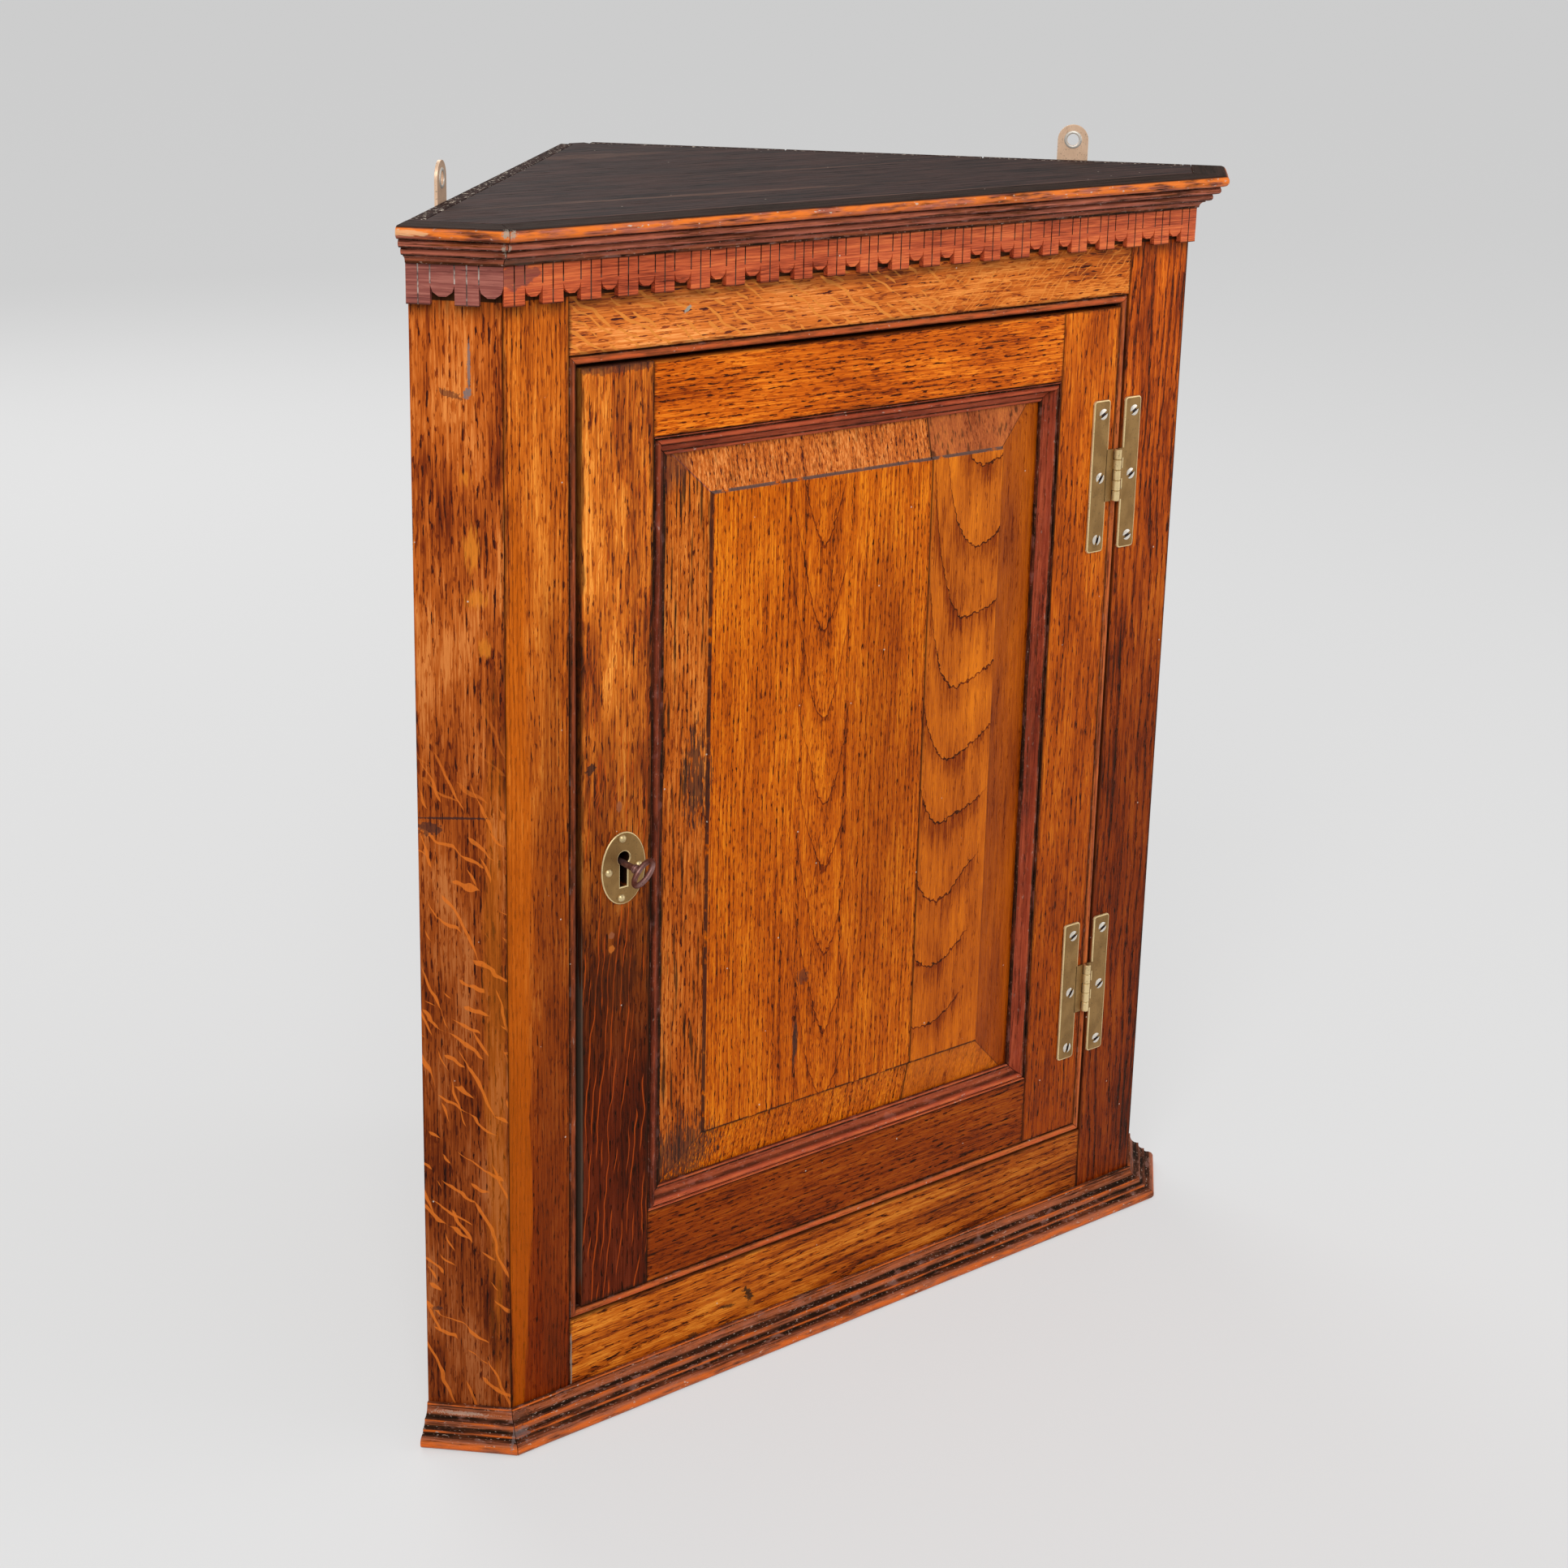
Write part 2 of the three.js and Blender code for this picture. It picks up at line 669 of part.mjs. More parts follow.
function addHangers(walls) {
  const plate = (fromX) => {
    const top = bodyHeight + hangerAbove;
    const round = hangerWidth / 2;
    const shape = new THREE.Shape();
    shape.moveTo(fromX - round, top - hangerLength);
    shape.lineTo(fromX + round, top - hangerLength);
    shape.lineTo(fromX + round, top - round);
    shape.absarc(fromX, top - round, round, 0, Math.PI, false);
    const hole = new THREE.Path();
    hole.absarc(fromX, top - hangerHoleDrop, hangerHole, 0, Math.PI * 2, true);
    shape.holes.push(hole);
    const geometry = new THREE.ExtrudeGeometry(shape, { depth: hangerThickness, bevelEnabled: false,
      curveSegments: arcSteps * 2 });
    return geometry.rotateX(Math.PI / 2).translate(0, hangerThickness + seat, 0);
  };
  walls.left.add(meshOf('hanging_plate_left', plate(hangerSetback), finishes.brass()));
  walls.right.add(meshOf('hanging_plate_right', plate(wallLength - hangerSetback), finishes.brass()));
}

function addDoorFrame(door) {
  const stile = (side) => {
    const isLeft = side === 'left';
    const edge = isLeft ? doorLeft : doorRight;
    const inner = isLeft ? sightLeft : sightRight;
    const body = block(Math.min(edge, inner), Math.max(edge, inner), 0, doorThickness, doorBottom, doorTop);
    const into = isLeft ? -1 : 1;
    const grooveEnd = inner + into * grooveDepth;
    const mortiseEnd = inner + into * (tenonLength + seat);
    const low = Math.min(inner, grooveEnd) - (isLeft ? 0 : overrun);
    const high = Math.max(inner, grooveEnd) + (isLeft ? overrun : 0);
    const groove = block(low, high, tongueFront - seat, tongueFront + panelTongue + seat,
      sightBottom - grooveDepth, sightTop + grooveDepth);
    const pocket = (bottom, top) => mortise(isLeft ? mortiseEnd : inner - overrun,
      isLeft ? inner + overrun : mortiseEnd, bottom, top, doorThickness);
    const tools = [groove, pocket(doorBottom, sightBottom), pocket(sightTop, doorTop)];
    if (isLeft) {
      tools.push(keyholeTool(-overrun, doorThickness + overrun));
    }
    return cut(body, ...tools);
  };
  const rail = (bottom, top, grooveBottom, grooveTop) => cut(
    tenonedRail(sightLeft, sightRight, bottom, top, doorThickness),
    block(sightLeft - tenonLength - overrun, sightRight + tenonLength + overrun, tongueFront - seat,
      tongueFront + panelTongue + seat, grooveBottom, grooveTop));
  door.add(meshOf('door_stile_lock', stile('left'), finishes.oak()));
  door.add(meshOf('door_stile_hinge', stile('right'), finishes.oak()));
  door.add(meshOf('door_rail_top', rail(sightTop, doorTop, sightTop - overrun, sightTop + grooveDepth),
    finishes.oak()));
  door.add(meshOf('door_rail_bottom', rail(doorBottom, sightBottom, sightBottom - grooveDepth,
    sightBottom + overrun), finishes.oak()));
}

function addDoorPanel(door) {
  door.add(meshOf('panel_board_wide', panelBoard(true), finishes.oak()));
  door.add(meshOf('panel_board_narrow', panelBoard(false), finishes.oak()));
  const strips = mitredSurround(panelMouldingSection(), sightLeft, sightRight, sightBottom, sightTop);
  for (const [side, geometry] of Object.entries(strips)) {
    door.add(meshOf(`panel_moulding_${side}`, geometry, finishes.redOak()));
  }
}

function addHinges(carcase, door) {
  const names = ['lower', 'upper'];
  hingeHeights.forEach((centreZ, index) => {
    carcase.add(meshOf(`hinge_frame_leaf_${names[index]}`, hingeLeaf(centreZ, true), finishes.brass()));
    carcase.add(meshOf(`hinge_pin_${names[index]}`, barAlongZ(pinRadius, centreZ - barrelLength / 2,
      centreZ + barrelLength / 2, hingeX, -barrelLift), finishes.brass()));
    door.add(meshOf(`hinge_door_leaf_${names[index]}`, hingeLeaf(centreZ, false), finishes.brass()));
  });
}

function escutcheon() {
  const centreZ = lockHeight - plateDrop;
  const shape = new THREE.Shape();
  shape.absellipse(keyX, centreZ, escutcheonWidth / 2, escutcheonHeight / 2, 0, Math.PI * 2);
  const plate = new THREE.ExtrudeGeometry(shape, { depth: plateThickness, bevelEnabled: false,
    curveSegments: roundSides });
  plate.rotateX(Math.PI / 2);
  return cut(plate, keyholeTool(-plateThickness - overrun, overrun));
}

// Lock case, open towards the door, with a mouth for the bolt and a seat for the key's tip
function lockCase() {
  const x0 = doorLeft + lockEdge;
  const x1 = x0 + lockWidth;
  const y0 = doorThickness + seat;
  const y1 = y0 + lockDepth;
  const z0 = lockHeight - lockBelow;
  const z1 = lockHeight + lockAbove;
  const box = block(x0, x1, y0, y1, z0, z1);
  const cavity = block(x0 + lockWall, x1 - lockWall, y0 - overrun, y1 - lockWall, z0 + lockWall, z1 - lockWall);
  const boltLow = lockHeight + boltLift - seat;
  const mouth = block(x0 - overrun, x0 + lockWall + overrun, y0 - overrun,
    y0 + boltFace + boltThickness + seat, boltLow, boltLow + boltHeight + seat * 2);
  const keySeat = barAlongY(shaftRadius + seat, y1 - lockWall - overrun, y1 + overrun, keyX, lockHeight);
  return cut(box, cavity, mouth, keySeat);
}

function lockBolt() {
  const x0 = doorLeft + lockEdge;
  const y0 = doorThickness + seat + boltFace;
  const z0 = lockHeight + boltLift;
  return block(x0, x0 + boltLength, y0, y0 + boltThickness, z0, z0 + boltHeight);
}

// The key about its own axis: bow, collar, shaft and bit, turned as the photograph shows
function keyGeometry() {
  const tip = doorThickness + seat + lockDepth - lockWall / 2;
  const shaft = barAlongY(shaftRadius, -shaftReach - bowSection, tip, 0, 0);
  const collar = barAlongY(collarRadius, -shaftReach, -shaftReach + collarLength, 0, 0);
  const tube = bowSection / 2;
  const bow = new THREE.TorusGeometry(bowLong / 2 - tube, tube, arcSteps * 2, roundSides);
  bow.rotateY(Math.PI / 2);
  bow.scale(1, bowShort / bowLong, 1);
  bow.translate(0, -shaftReach - bowShort / 2, 0);
  const bitEnd = tip - lockWall - bitSetback / 2;
  const bit = block(-bitThickness / 2, bitThickness / 2, bitEnd - bitWidth, bitEnd, -bitRadius, 0);
  return join(shaft, collar, bow, bit);
}

function addLock(door) {
  door.add(meshOf('escutcheon', escutcheon(), finishes.brass()));
  door.add(meshOf('lock_case', lockCase(), finishes.iron()));
  door.add(meshOf('lock_bolt', lockBolt(), finishes.iron()));
  const key = meshOf('key', keyGeometry(), finishes.iron());
  key.position.set(keyX, 0, lockHeight);
  key.rotation.y = keyTurnAtRest;
  door.add(key);
}

// The whole cupboard, its origin under the middle of its box
function buildCupboard() {
  const cupboard = new THREE.Group();
  const carcase = new THREE.Group();
  const frames = {
    front: frameAt(-halfWidth, 0, 0),
    left: frameAt(-returnEndX, returnEndY, -wallAngle),
    right: frameAt(halfWidth, 0, wallAngle),
  };
  const walls = {
    left: frameAt(-returnEndX, returnEndY, wallAngle),
    right: frameAt(0, cornerY, -wallAngle),
  };
  carcase.add(frames.front, frames.left, frames.right, walls.left, walls.right);
  addBoards(carcase);
  addBackPlanks(walls.left, 'left');
  addBackPlanks(walls.right, 'right');
  addShelves(carcase, walls);
  addFaceFrame(carcase);
  addReturns(frames);
  addMouldings(frames);
  addHangers(walls);
  const door = frameAt(-hingeX, barrelLift, 0);
  const doorSwing = frameAt(hingeX, -barrelLift, 0);
  doorSwing.add(door);
  addDoorFrame(door);
  addDoorPanel(door);
  addLock(door);
  addHinges(carcase, door);
  cupboard.add(carcase, doorSwing);
  cupboard.position.y = (frontReach - backY) / 2;
  return cupboard;
}

const group = buildCupboard();

export default group;
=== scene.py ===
import json
import math
from functools import reduce
import bmesh
import bpy
from mathutils import Matrix, Vector, noise

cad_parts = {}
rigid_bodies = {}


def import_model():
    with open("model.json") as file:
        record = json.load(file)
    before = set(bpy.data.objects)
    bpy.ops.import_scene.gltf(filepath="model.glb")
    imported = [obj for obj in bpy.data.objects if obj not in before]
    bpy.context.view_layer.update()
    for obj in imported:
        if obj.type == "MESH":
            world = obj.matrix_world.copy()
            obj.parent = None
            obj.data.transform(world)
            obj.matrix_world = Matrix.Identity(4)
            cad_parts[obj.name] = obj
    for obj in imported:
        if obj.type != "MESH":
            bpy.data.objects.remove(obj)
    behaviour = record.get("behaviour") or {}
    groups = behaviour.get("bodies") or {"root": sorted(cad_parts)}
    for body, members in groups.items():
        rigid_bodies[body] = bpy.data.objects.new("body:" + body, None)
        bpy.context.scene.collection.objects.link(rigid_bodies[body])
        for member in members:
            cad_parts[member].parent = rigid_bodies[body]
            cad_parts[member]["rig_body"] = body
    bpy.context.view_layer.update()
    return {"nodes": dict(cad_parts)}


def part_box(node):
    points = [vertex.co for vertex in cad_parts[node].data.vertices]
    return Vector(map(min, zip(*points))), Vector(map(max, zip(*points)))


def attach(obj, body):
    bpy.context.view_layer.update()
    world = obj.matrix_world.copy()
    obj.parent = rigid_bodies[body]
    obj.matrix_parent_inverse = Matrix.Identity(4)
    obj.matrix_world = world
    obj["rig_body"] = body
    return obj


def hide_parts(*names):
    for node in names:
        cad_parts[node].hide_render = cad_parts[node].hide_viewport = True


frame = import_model()

bl_info = {
    "name": "Oak corner cupboard",
    "version": (1, 0, 0),
    "blender": (4, 5, 0),
    "location": "3D View > Sidebar > Cupboard",
    "description": "Dresses the frame of a hanging corner cupboard in worn oak, brass and iron",
    "category": "Object",
}

MM = 0.001

# The picture's frame and the camera that fits it, in its pixels, metres and radians
PICTURE = 1932
PRINCIPAL = (1000, 800)
FOCAL_PIXELS = 3248.16
SENSOR = 36
EYE = Vector((-1.19217, -1.57664, 1.08861))
CAMERA_YAW = math.radians(-39.093)
CAMERA_PITCH = math.radians(16.692)
CAMERA_ROLL = math.radians(1.5295)

# Places worked out from the frame, the last two in millimetres
FACE_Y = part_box("frame_stile_left")[0].y
TOP_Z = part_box("top_board")[1].z
FRAME_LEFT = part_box("frame_stile_left")[0].x
FRAME_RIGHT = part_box("frame_stile_right")[1].x
RETURN_END = (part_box("return_left")[0].x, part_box("return_left")[1].y)
RETURN_WIDTH = math.hypot(RETURN_END[0] - FRAME_LEFT, RETURN_END[1] - FACE_Y) / MM
HOOD_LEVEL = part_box("frieze_front")[0].z / MM

WALL_TURN = math.pi / 4
LEAF_THICKNESS = 1.8 * MM
LEAF_WIDTH = 17.5 * MM
PLATE_THICKNESS = 1.6 * MM
PLANK_THICKNESS = 10 * MM
KEY_TURN = math.radians(42)
KEY_X = -216 * MM
KEY_Z = 420 * MM


def srgb(red, green, blue):
    """A colour as a screen shows it, 0 to 255, in Blender's linear values."""
    def linear(level):
        share = level / 255
        return share / 12.92 if share <= 0.04045 else ((share + 0.055) / 1.055) ** 2.4
    return (linear(red), linear(green), linear(blue))


def colour_value(name, text, default):
    """A colour that the sidebar can change."""
    return bpy.props.FloatVectorProperty(name=name, description=text, default=default, subtype="COLOR",
                                         size=3, min=0.0, max=1.0)


def length_value(name, text, default):
    """A length that the sidebar can change."""
    return bpy.props.FloatProperty(name=name, description=text, default=default, unit="LENGTH", min=0.0,
                                   precision=5)


class CupboardTones(bpy.types.PropertyGroup):
    """Colours of the woods and metals."""
    oak_bright: colour_value("Bright oak", "Summer wood of the face boards", srgb(236, 134, 34))
    oak_mid: colour_value("Oak", "Body colour of the face boards", srgb(196, 90, 12))
    oak_deep: colour_value("Deep oak", "Spring wood and old polish", srgb(128, 46, 6))
    oak_pore: colour_value("Pores", "Dirt in the open pores", srgb(56, 18, 6))
    oak_fleck: colour_value("Ray fleck", "Medullary rays on quartered boards", srgb(240, 146, 62))
    red_bright: colour_value("Bright moulding", "Rubbed arrises of the mouldings", srgb(212, 112, 54))
    red_mid: colour_value("Moulding", "Body colour of the mouldings", srgb(150, 72, 40))
    red_deep: colour_value("Deep moulding", "Old polish in the mouldings", srgb(90, 42, 28))
    # The grime colour also paints the shade in the quirks and behind the frieze.
    grime_and_shade: colour_value("Grime", "Dirt in joints and quirks", srgb(32, 20, 16))
    dust: colour_value("Dust", "Grey dust and wax in corners", srgb(132, 118, 116))
    chip: colour_value("Chips", "Bare chips and bright specks", srgb(220, 204, 186))
    top_wood: colour_value("Top board", "Unpolished top, black with age", srgb(64, 44, 39))
    plain_wood: colour_value("Carcase wood", "Dry wood inside and behind", srgb(146, 100, 58))
    brass: colour_value("Brass", "Hinges and escutcheon", srgb(158, 122, 72))
    copper: colour_value("Hanging plates", "Pinkish brass of the hanging plates", srgb(255, 216, 182))
    # Painted highlight: the bevels and knuckles of the brass in a paler colour, over their rubbed wear.
    brass_rim: colour_value("Rubbed brass", "Bevelled edges and knuckles of the brass", srgb(240, 214, 160))
    steel: colour_value("Screw heads", "Bright screw heads and eyelets", srgb(232, 225, 214))
    iron: colour_value("Iron", "Key, lock and bolt", srgb(136, 100, 94))


class CupboardSizes(bpy.types.PropertyGroup):
    """Sizes of the wear and of the small metalwork."""
    board_edge: length_value("Board edge", "Rounding of a board's arris", 0.7 * MM)
    moulding_edge: length_value("Moulding edge", "Rounding of a moulding's arris", 0.25 * MM)
    metal_edge: length_value("Metal edge", "Bevel of the escutcheon and the lock", 0.8 * MM)
    wear: length_value("Wear", "How far the mouldings are rubbed back", 0.32 * MM)
    screw_radius: length_value("Screw radius", "Radius of a hinge screw's head", 4.4 * MM)
    pin_radius: length_value("Pin radius", "Radius of an escutcheon pin's head", 3 * MM)


class CupboardStage(bpy.types.PropertyGroup):
    """Light and floor."""
    floor: colour_value("Floor", "Colour of the floor and backdrop", srgb(226, 226, 226))
    world_strength: bpy.props.FloatProperty(
        name="Room light", description="Strength of the even room light", default=0.5, min=0.0)
    lamp_power: bpy.props.FloatProperty(
        name="Lamp power", description="Power of the main lamp", default=95.0, unit="POWER", min=0.0)


class Socket:
    """A shader output that takes part in Python sums."""

    def __init__(self, finish, output):
        self.finish = finish
        self.output = output

    def __add__(self, other):
        return self.finish.math("ADD", self, other)

    def __sub__(self, other):
        return self.finish.math("SUBTRACT", self, other)

    def __rsub__(self, other):
        return self.finish.math("SUBTRACT", other, self)

    def __mul__(self, other):
        return self.finish.math("MULTIPLY", self, other)

    def __truediv__(self, other):
        return self.finish.math("DIVIDE", self, other)

    def __pow__(self, other):
        return self.finish.math("POWER", self, other)

    def __abs__(self):
        return self.finish.math("ABSOLUTE", self)

    __radd__ = __add__
    __rmul__ = __mul__

    def step(self, start, end):
        """0 at start and 1 at end, eased between them; end may be the lower."""
        return self.finish.node("ShaderNodeMapRange", {"interpolation_type": "SMOOTHSTEP"},
                                {"Value": self, "From Min": start, "From Max": end})


POLISH_TINT = (1, 0.55, 0.14, 1)


class Finish:
    """One procedural material, or the room's light, and the sums made in its nodes."""

    def __init__(self, name, owner=None):
        self.owner = owner or bpy.data.materials.new(name)
        self.owner.use_nodes = True
        self.tree = self.owner.node_tree
        self.tree.nodes.clear()

    def node(self, kind, settings=None, inputs=None, output=0):
        """A node of a kind: its settings first, then the values or links of its sockets."""
        made = self.tree.nodes.new(kind)
        for key, value in (settings or {}).items():
            if key == "stops":
                ramp = made.color_ramp
                while len(ramp.elements) < len(value):
                    ramp.elements.new(1)
                for element, (position, level) in zip(ramp.elements, value):
                    element.position = position
                    element.color = (level, level, level, 1)
            else:
                setattr(made, key, value)
        for key, value in (inputs or {}).items():
            if isinstance(value, Socket):
                self.tree.links.new(value.output, made.inputs[key])
            else:
                made.inputs[key].default_value = value
        return Socket(self, made.outputs[output])

    def math(self, operation, *values):
        return self.node("ShaderNodeMath", {"operation": operation}, dict(enumerate(values)))

    def least(self, *values):
        return reduce(lambda low, value: self.math("MINIMUM", low, value), values)

    def most(self, *values):
        return reduce(lambda high, value: self.math("MAXIMUM", high, value), values)

    def mix(self, share, first, second, blend="MIX"):
        def filled(value):
            return value if isinstance(value, Socket) else (*value[:3], 1)
        return self.node("ShaderNodeMix", {"data_type": "RGBA", "blend_type": blend, "clamp_factor": True},
                         {0: share, 6: filled(first), 7: filled(second)}, output=2)

    def split(self, vector):
        made = self.node("ShaderNodeSeparateXYZ", None, {0: vector}).output.node
        return [Socket(self, output) for output in made.outputs]

    def join(self, first, second, third):
        return self.node("ShaderNodeCombineXYZ", None, {0: first, 1: second, 2: third})

    def stretched(self, place, sizes, offset):
        """A place measured in lumps of the sizes given and moved aside."""
        return self.node("ShaderNodeVectorMath", {"operation": "MULTIPLY_ADD"},
                         {0: place, 1: tuple(1 / size for size in sizes), 2: offset})

    def grain(self, place, sizes, seed, detail=2):
        """Noise whose lumps have the sizes given, 0 to 1 about a middle of a half."""
        scaled = self.stretched(place, sizes, (seed * 3.17, seed * 5.41, seed * 1.73))
        return self.node("ShaderNodeTexNoise", None, {"Vector": scaled, "Scale": 1, "Detail": detail})

    def chance(self, value):
        """A number from 0 to 1 that belongs to each whole value."""
        return self.node("ShaderNodeTexWhiteNoise", {"noise_dimensions": "1D"}, {"W": value})

    def millimetres(self, turn=0, corner=(0, 0)):
        """Object coordinates in millimetres from a corner, turned so that a board's face lies along X."""
        place = self.node("ShaderNodeTexCoord", output="Object")
        start = Matrix.Rotation(turn, 3, "Z") @ Vector((*corner, 0)) / MM
        return self.node("ShaderNodeMapping", None, {"Vector": place, "Location": -start,
                                                     "Rotation": (0, 0, turn), "Scale": (1 / MM,) * 3})

    def shade(self, colour, roughness, height, depth, metallic=0, specular=0.16, warm=False):
        """Ends the material in one surface shader; old polish tints what it reflects."""
        bump = self.node("ShaderNodeBump", None, {"Height": height, "Strength": 1, "Distance": depth * MM})
        inputs = {"Base Color": colour, "Roughness": roughness, "Metallic": metallic,
                  "Specular IOR Level": specular, "Normal": bump}
        if warm:
            inputs["Specular Tint"] = POLISH_TINT
        return self.close(self.node("ShaderNodeBsdfPrincipled", None, inputs))

    def close(self, surface, kind="ShaderNodeOutputMaterial"):
        """Ends the tree in a surface and gives back what it belongs to."""
        end = self.tree.nodes.new(kind)
        self.tree.links.new(surface.output, end.inputs["Surface"])
        return self.owner


# What the palettes average to on the boards and on the panel, which the tints that paint light and shade on
# them are set against
OAK_MEAN = srgb(184, 86, 14)
PANEL_MEAN = srgb(184, 88, 16)

# How a board's grain looks, unless it says otherwise: sizes in millimetres, the rest as shares
PLAIN_LOOK = {
    "ring": 5, "pith": (320, 40, 0), "wander": 7, "band": 0.55, "level": 0.66, "fibre": 1, "streak": 0.5,
    "cloud": 0.9, "stripe": 0.22, "pores": 0.8, "dash": (1.3, 9), "cut": (0.56, 0.62), "tints": None,
    "turn_over": (860, 20), "lengthwise": False, "splintered": 0, "edge": 0.55, "edge_width": 2.5,
    "hood": None, "rough": 0.4, "flecks": (), "marks": (), "figure": None, "field": None, "bands": None,
    "warm": True,
}

# Depths and heights in millimetres at which dirt, painted shade under the frieze, age and bevels set in and
# are complete
HOOD_SHADE = (1.8, 2.6)
HOOD_SHADE_REACH = 14
CAP_DEPTHS = (1.6, 0.5)
SPLINTER_DEPTHS = (3, 1.5)
JOINT_LINE = (1.1, 0.3)
FRONT_DEPTHS = (0.5, 1.5)

# The panel's raised field: left, right, bottom and top in millimetres
FIELD_BOX = (-141.5, 127, 191.2, 672.3)


def board_space(finish, lie):
    """Across, depth and along the grain of a board, in millimetres, with the vector of the three."""
    x, y, z = finish.split(finish.millimetres(lie.get("turn", 0), lie.get("corner", (0, 0))))
    across, depth, along = {"Z": (x, y, z), "X": (z, y, x), "FLAT": (y, z, x)}[lie["grain"]]
    return across, depth, along, finish.join(across, depth, along), z


def ring_field(finish, across, along, place, look, seed):
    """Growth rings round a pith that lies beside or behind the board and tilts along it."""
    pith_across, pith_depth, tilt = look["pith"]
    wander = (finish.grain(place, (55, 55, 240), seed + 1) - 0.5) * look["wander"] * 2
    side = across + wander - pith_across
    behind = pith_depth - along * tilt
    radius = finish.math("SQRT", side * side + behind * behind)
    ragged = (finish.grain(place, (1.4, 1.4, 7), seed + 2) - 0.5) * 0.5
    return radius / look["ring"] + ragged


def slanted(across, along, degrees):
    """Across and along, turned by an angle."""
    tilt = math.radians(degrees)
    level = across * math.cos(tilt) + along * math.sin(tilt)
    return level, along * math.cos(tilt) - across * math.sin(tilt)


def fleck_mask(finish, across, along, flecks, seed):
    """Ray flecks: thin lines that run aslant, sway, taper at both ends and keep to one stretch."""
    level, climb = slanted(across, along, flecks["tilt"])
    run, spacing, width = flecks["length"], flecks["spacing"], flecks["width"]
    turned_place = finish.join(level, 0, climb)
    sway = (finish.grain(turned_place, (run * 1.2, run, run * 0.9), seed + 21) - 0.5) * flecks["sway"]
    rows = (climb + sway) / spacing
    row = finish.math("FLOOR", rows)
    chance = finish.chance(row + seed * 3)
    places = finish.join(level + chance * 900, 0, row * spacing * 9)
    lumps = finish.grain(places, (run, run, run), seed + 23, 1)
    body = lumps.step(flecks["sparse"], flecks["sparse"] + 0.12)
    off_line = abs(finish.math("FRACT", rows) - (chance * 0.4 + 0.3))
    line = (off_line - body * width).step(0, width * -0.35)
    low, high, soft = flecks["stretch"]
    inside = along.step(low - soft, low) * along.step(high + soft, high)
    return line * inside * flecks["strength"]


def figure_masks(finish, across, along, place, figure, seed):
    """The tongues of a flat-sawn board: a ragged line and the shade under it, one above the other."""
    drift = across - (along - figure["level"]) * figure["lean"] - figure["centre"]
    left_rise, left_power = figure["left"]
    right_rise, right_power = figure["right"]
    left = finish.most(drift * -1, 0) ** left_power * left_rise
    right = finish.most(drift, 0) ** right_power * right_rise
    ragged = (finish.grain(place, (4, 4, 5), seed + 41, 3) - 0.5) * figure["ragged"]
    sweep = (finish.grain(place, (70, 70, 110), seed + 42, 1) - 0.5) * figure["sweep"]
    part = finish.math("FRACT", (along - left - right + ragged + sweep) / figure["pitch"])
    reach = drift.step(figure["reach"], figure["reach"] * 0.7)
    reach = reach * (drift * -1).step(figure["reach"] * 1.3, figure["reach"])
    inside = outside_field(finish, across, along)[1].step(0.6, 0.1) * reach
    width = figure["width"] / figure["pitch"]
    line = part.step(1 - width * 1.6, 1 - width) * figure["strength"]
    under = part.step(0.5, 1) * figure["under"]
    return line * inside, under * inside


def outside_field(finish, across, along):
    """How far a point lies beyond each side of the panel's field, and beyond the farthest."""
    left, right, low, high = FIELD_BOX
    sides = {"left": left - across, "right": across - right, "bottom": low - along, "top": along - high}
    return sides, finish.most(*sides.values())


def tone_scale(finish, level, tones):
    """The palette's four tones in turn as the level goes from 0 to 1."""
    colour = finish.mix(level.step(0, 0.34), tones["pore"], tones["deep"])
    colour = finish.mix(level.step(0.3, 0.68), colour, tones["mid"])
    return finish.mix(level.step(0.62, 1), colour, tones["bright"])


def against(tint, mean):
    """A tint, as a screen shows it, as a ratio to a mean."""
    return tuple(level / share for level, share in zip(srgb(*tint), mean))


def fielded(finish, colour, across, along, place, field, tones, seed):
    """The panel's bevels, each tinted to paint the light and shade on its slope, with its mitres and the
    quirk round the field.
    """
    sides, outside = outside_field(finish, across, along)
    behind = {side: outside - distance for side, distance in sides.items()}
    bevel = outside.step(0.2, 0.8)
    worn = finish.grain(place, (2.4, 2.4, 46), seed + 51, 4)
    for side, (tint, dirt_and_shade) in field["bevels"].items():
        own = behind[side].step(0.7, 0.2) * bevel
        colour = finish.mix(own, colour, finish.mix(1, colour, against(tint, PANEL_MEAN), "MULTIPLY"))
        colour = finish.mix(own * worn.step(0.55, 0.66) * dirt_and_shade, colour, tones["grime_and_shade"])
    corners = (("left", "top"), ("left", "bottom"), ("right", "top"), ("right", "bottom"))
    mitre = finish.least(*(finish.most(behind[one], behind[other]) for one, other in corners))
    at_corner = finish.math("GREATER_THAN", outside, 0.5)
    colour = finish.mix(mitre.step(0.8, 0.2) * at_corner * 0.5, colour, tones["grime_and_shade"])
    drift = finish.grain(place, (9, 9, 9), seed + 52, 3)
    for side, (tone, width) in field["quirks"].items():
        line = abs(sides[side] - 0.4).step(width, width * 0.5)
        own = behind[side].step(0.9, 0.4) * drift.step(0.3, 0.45)
        colour = finish.mix(line * own * 0.9, colour, tone)
    return colour


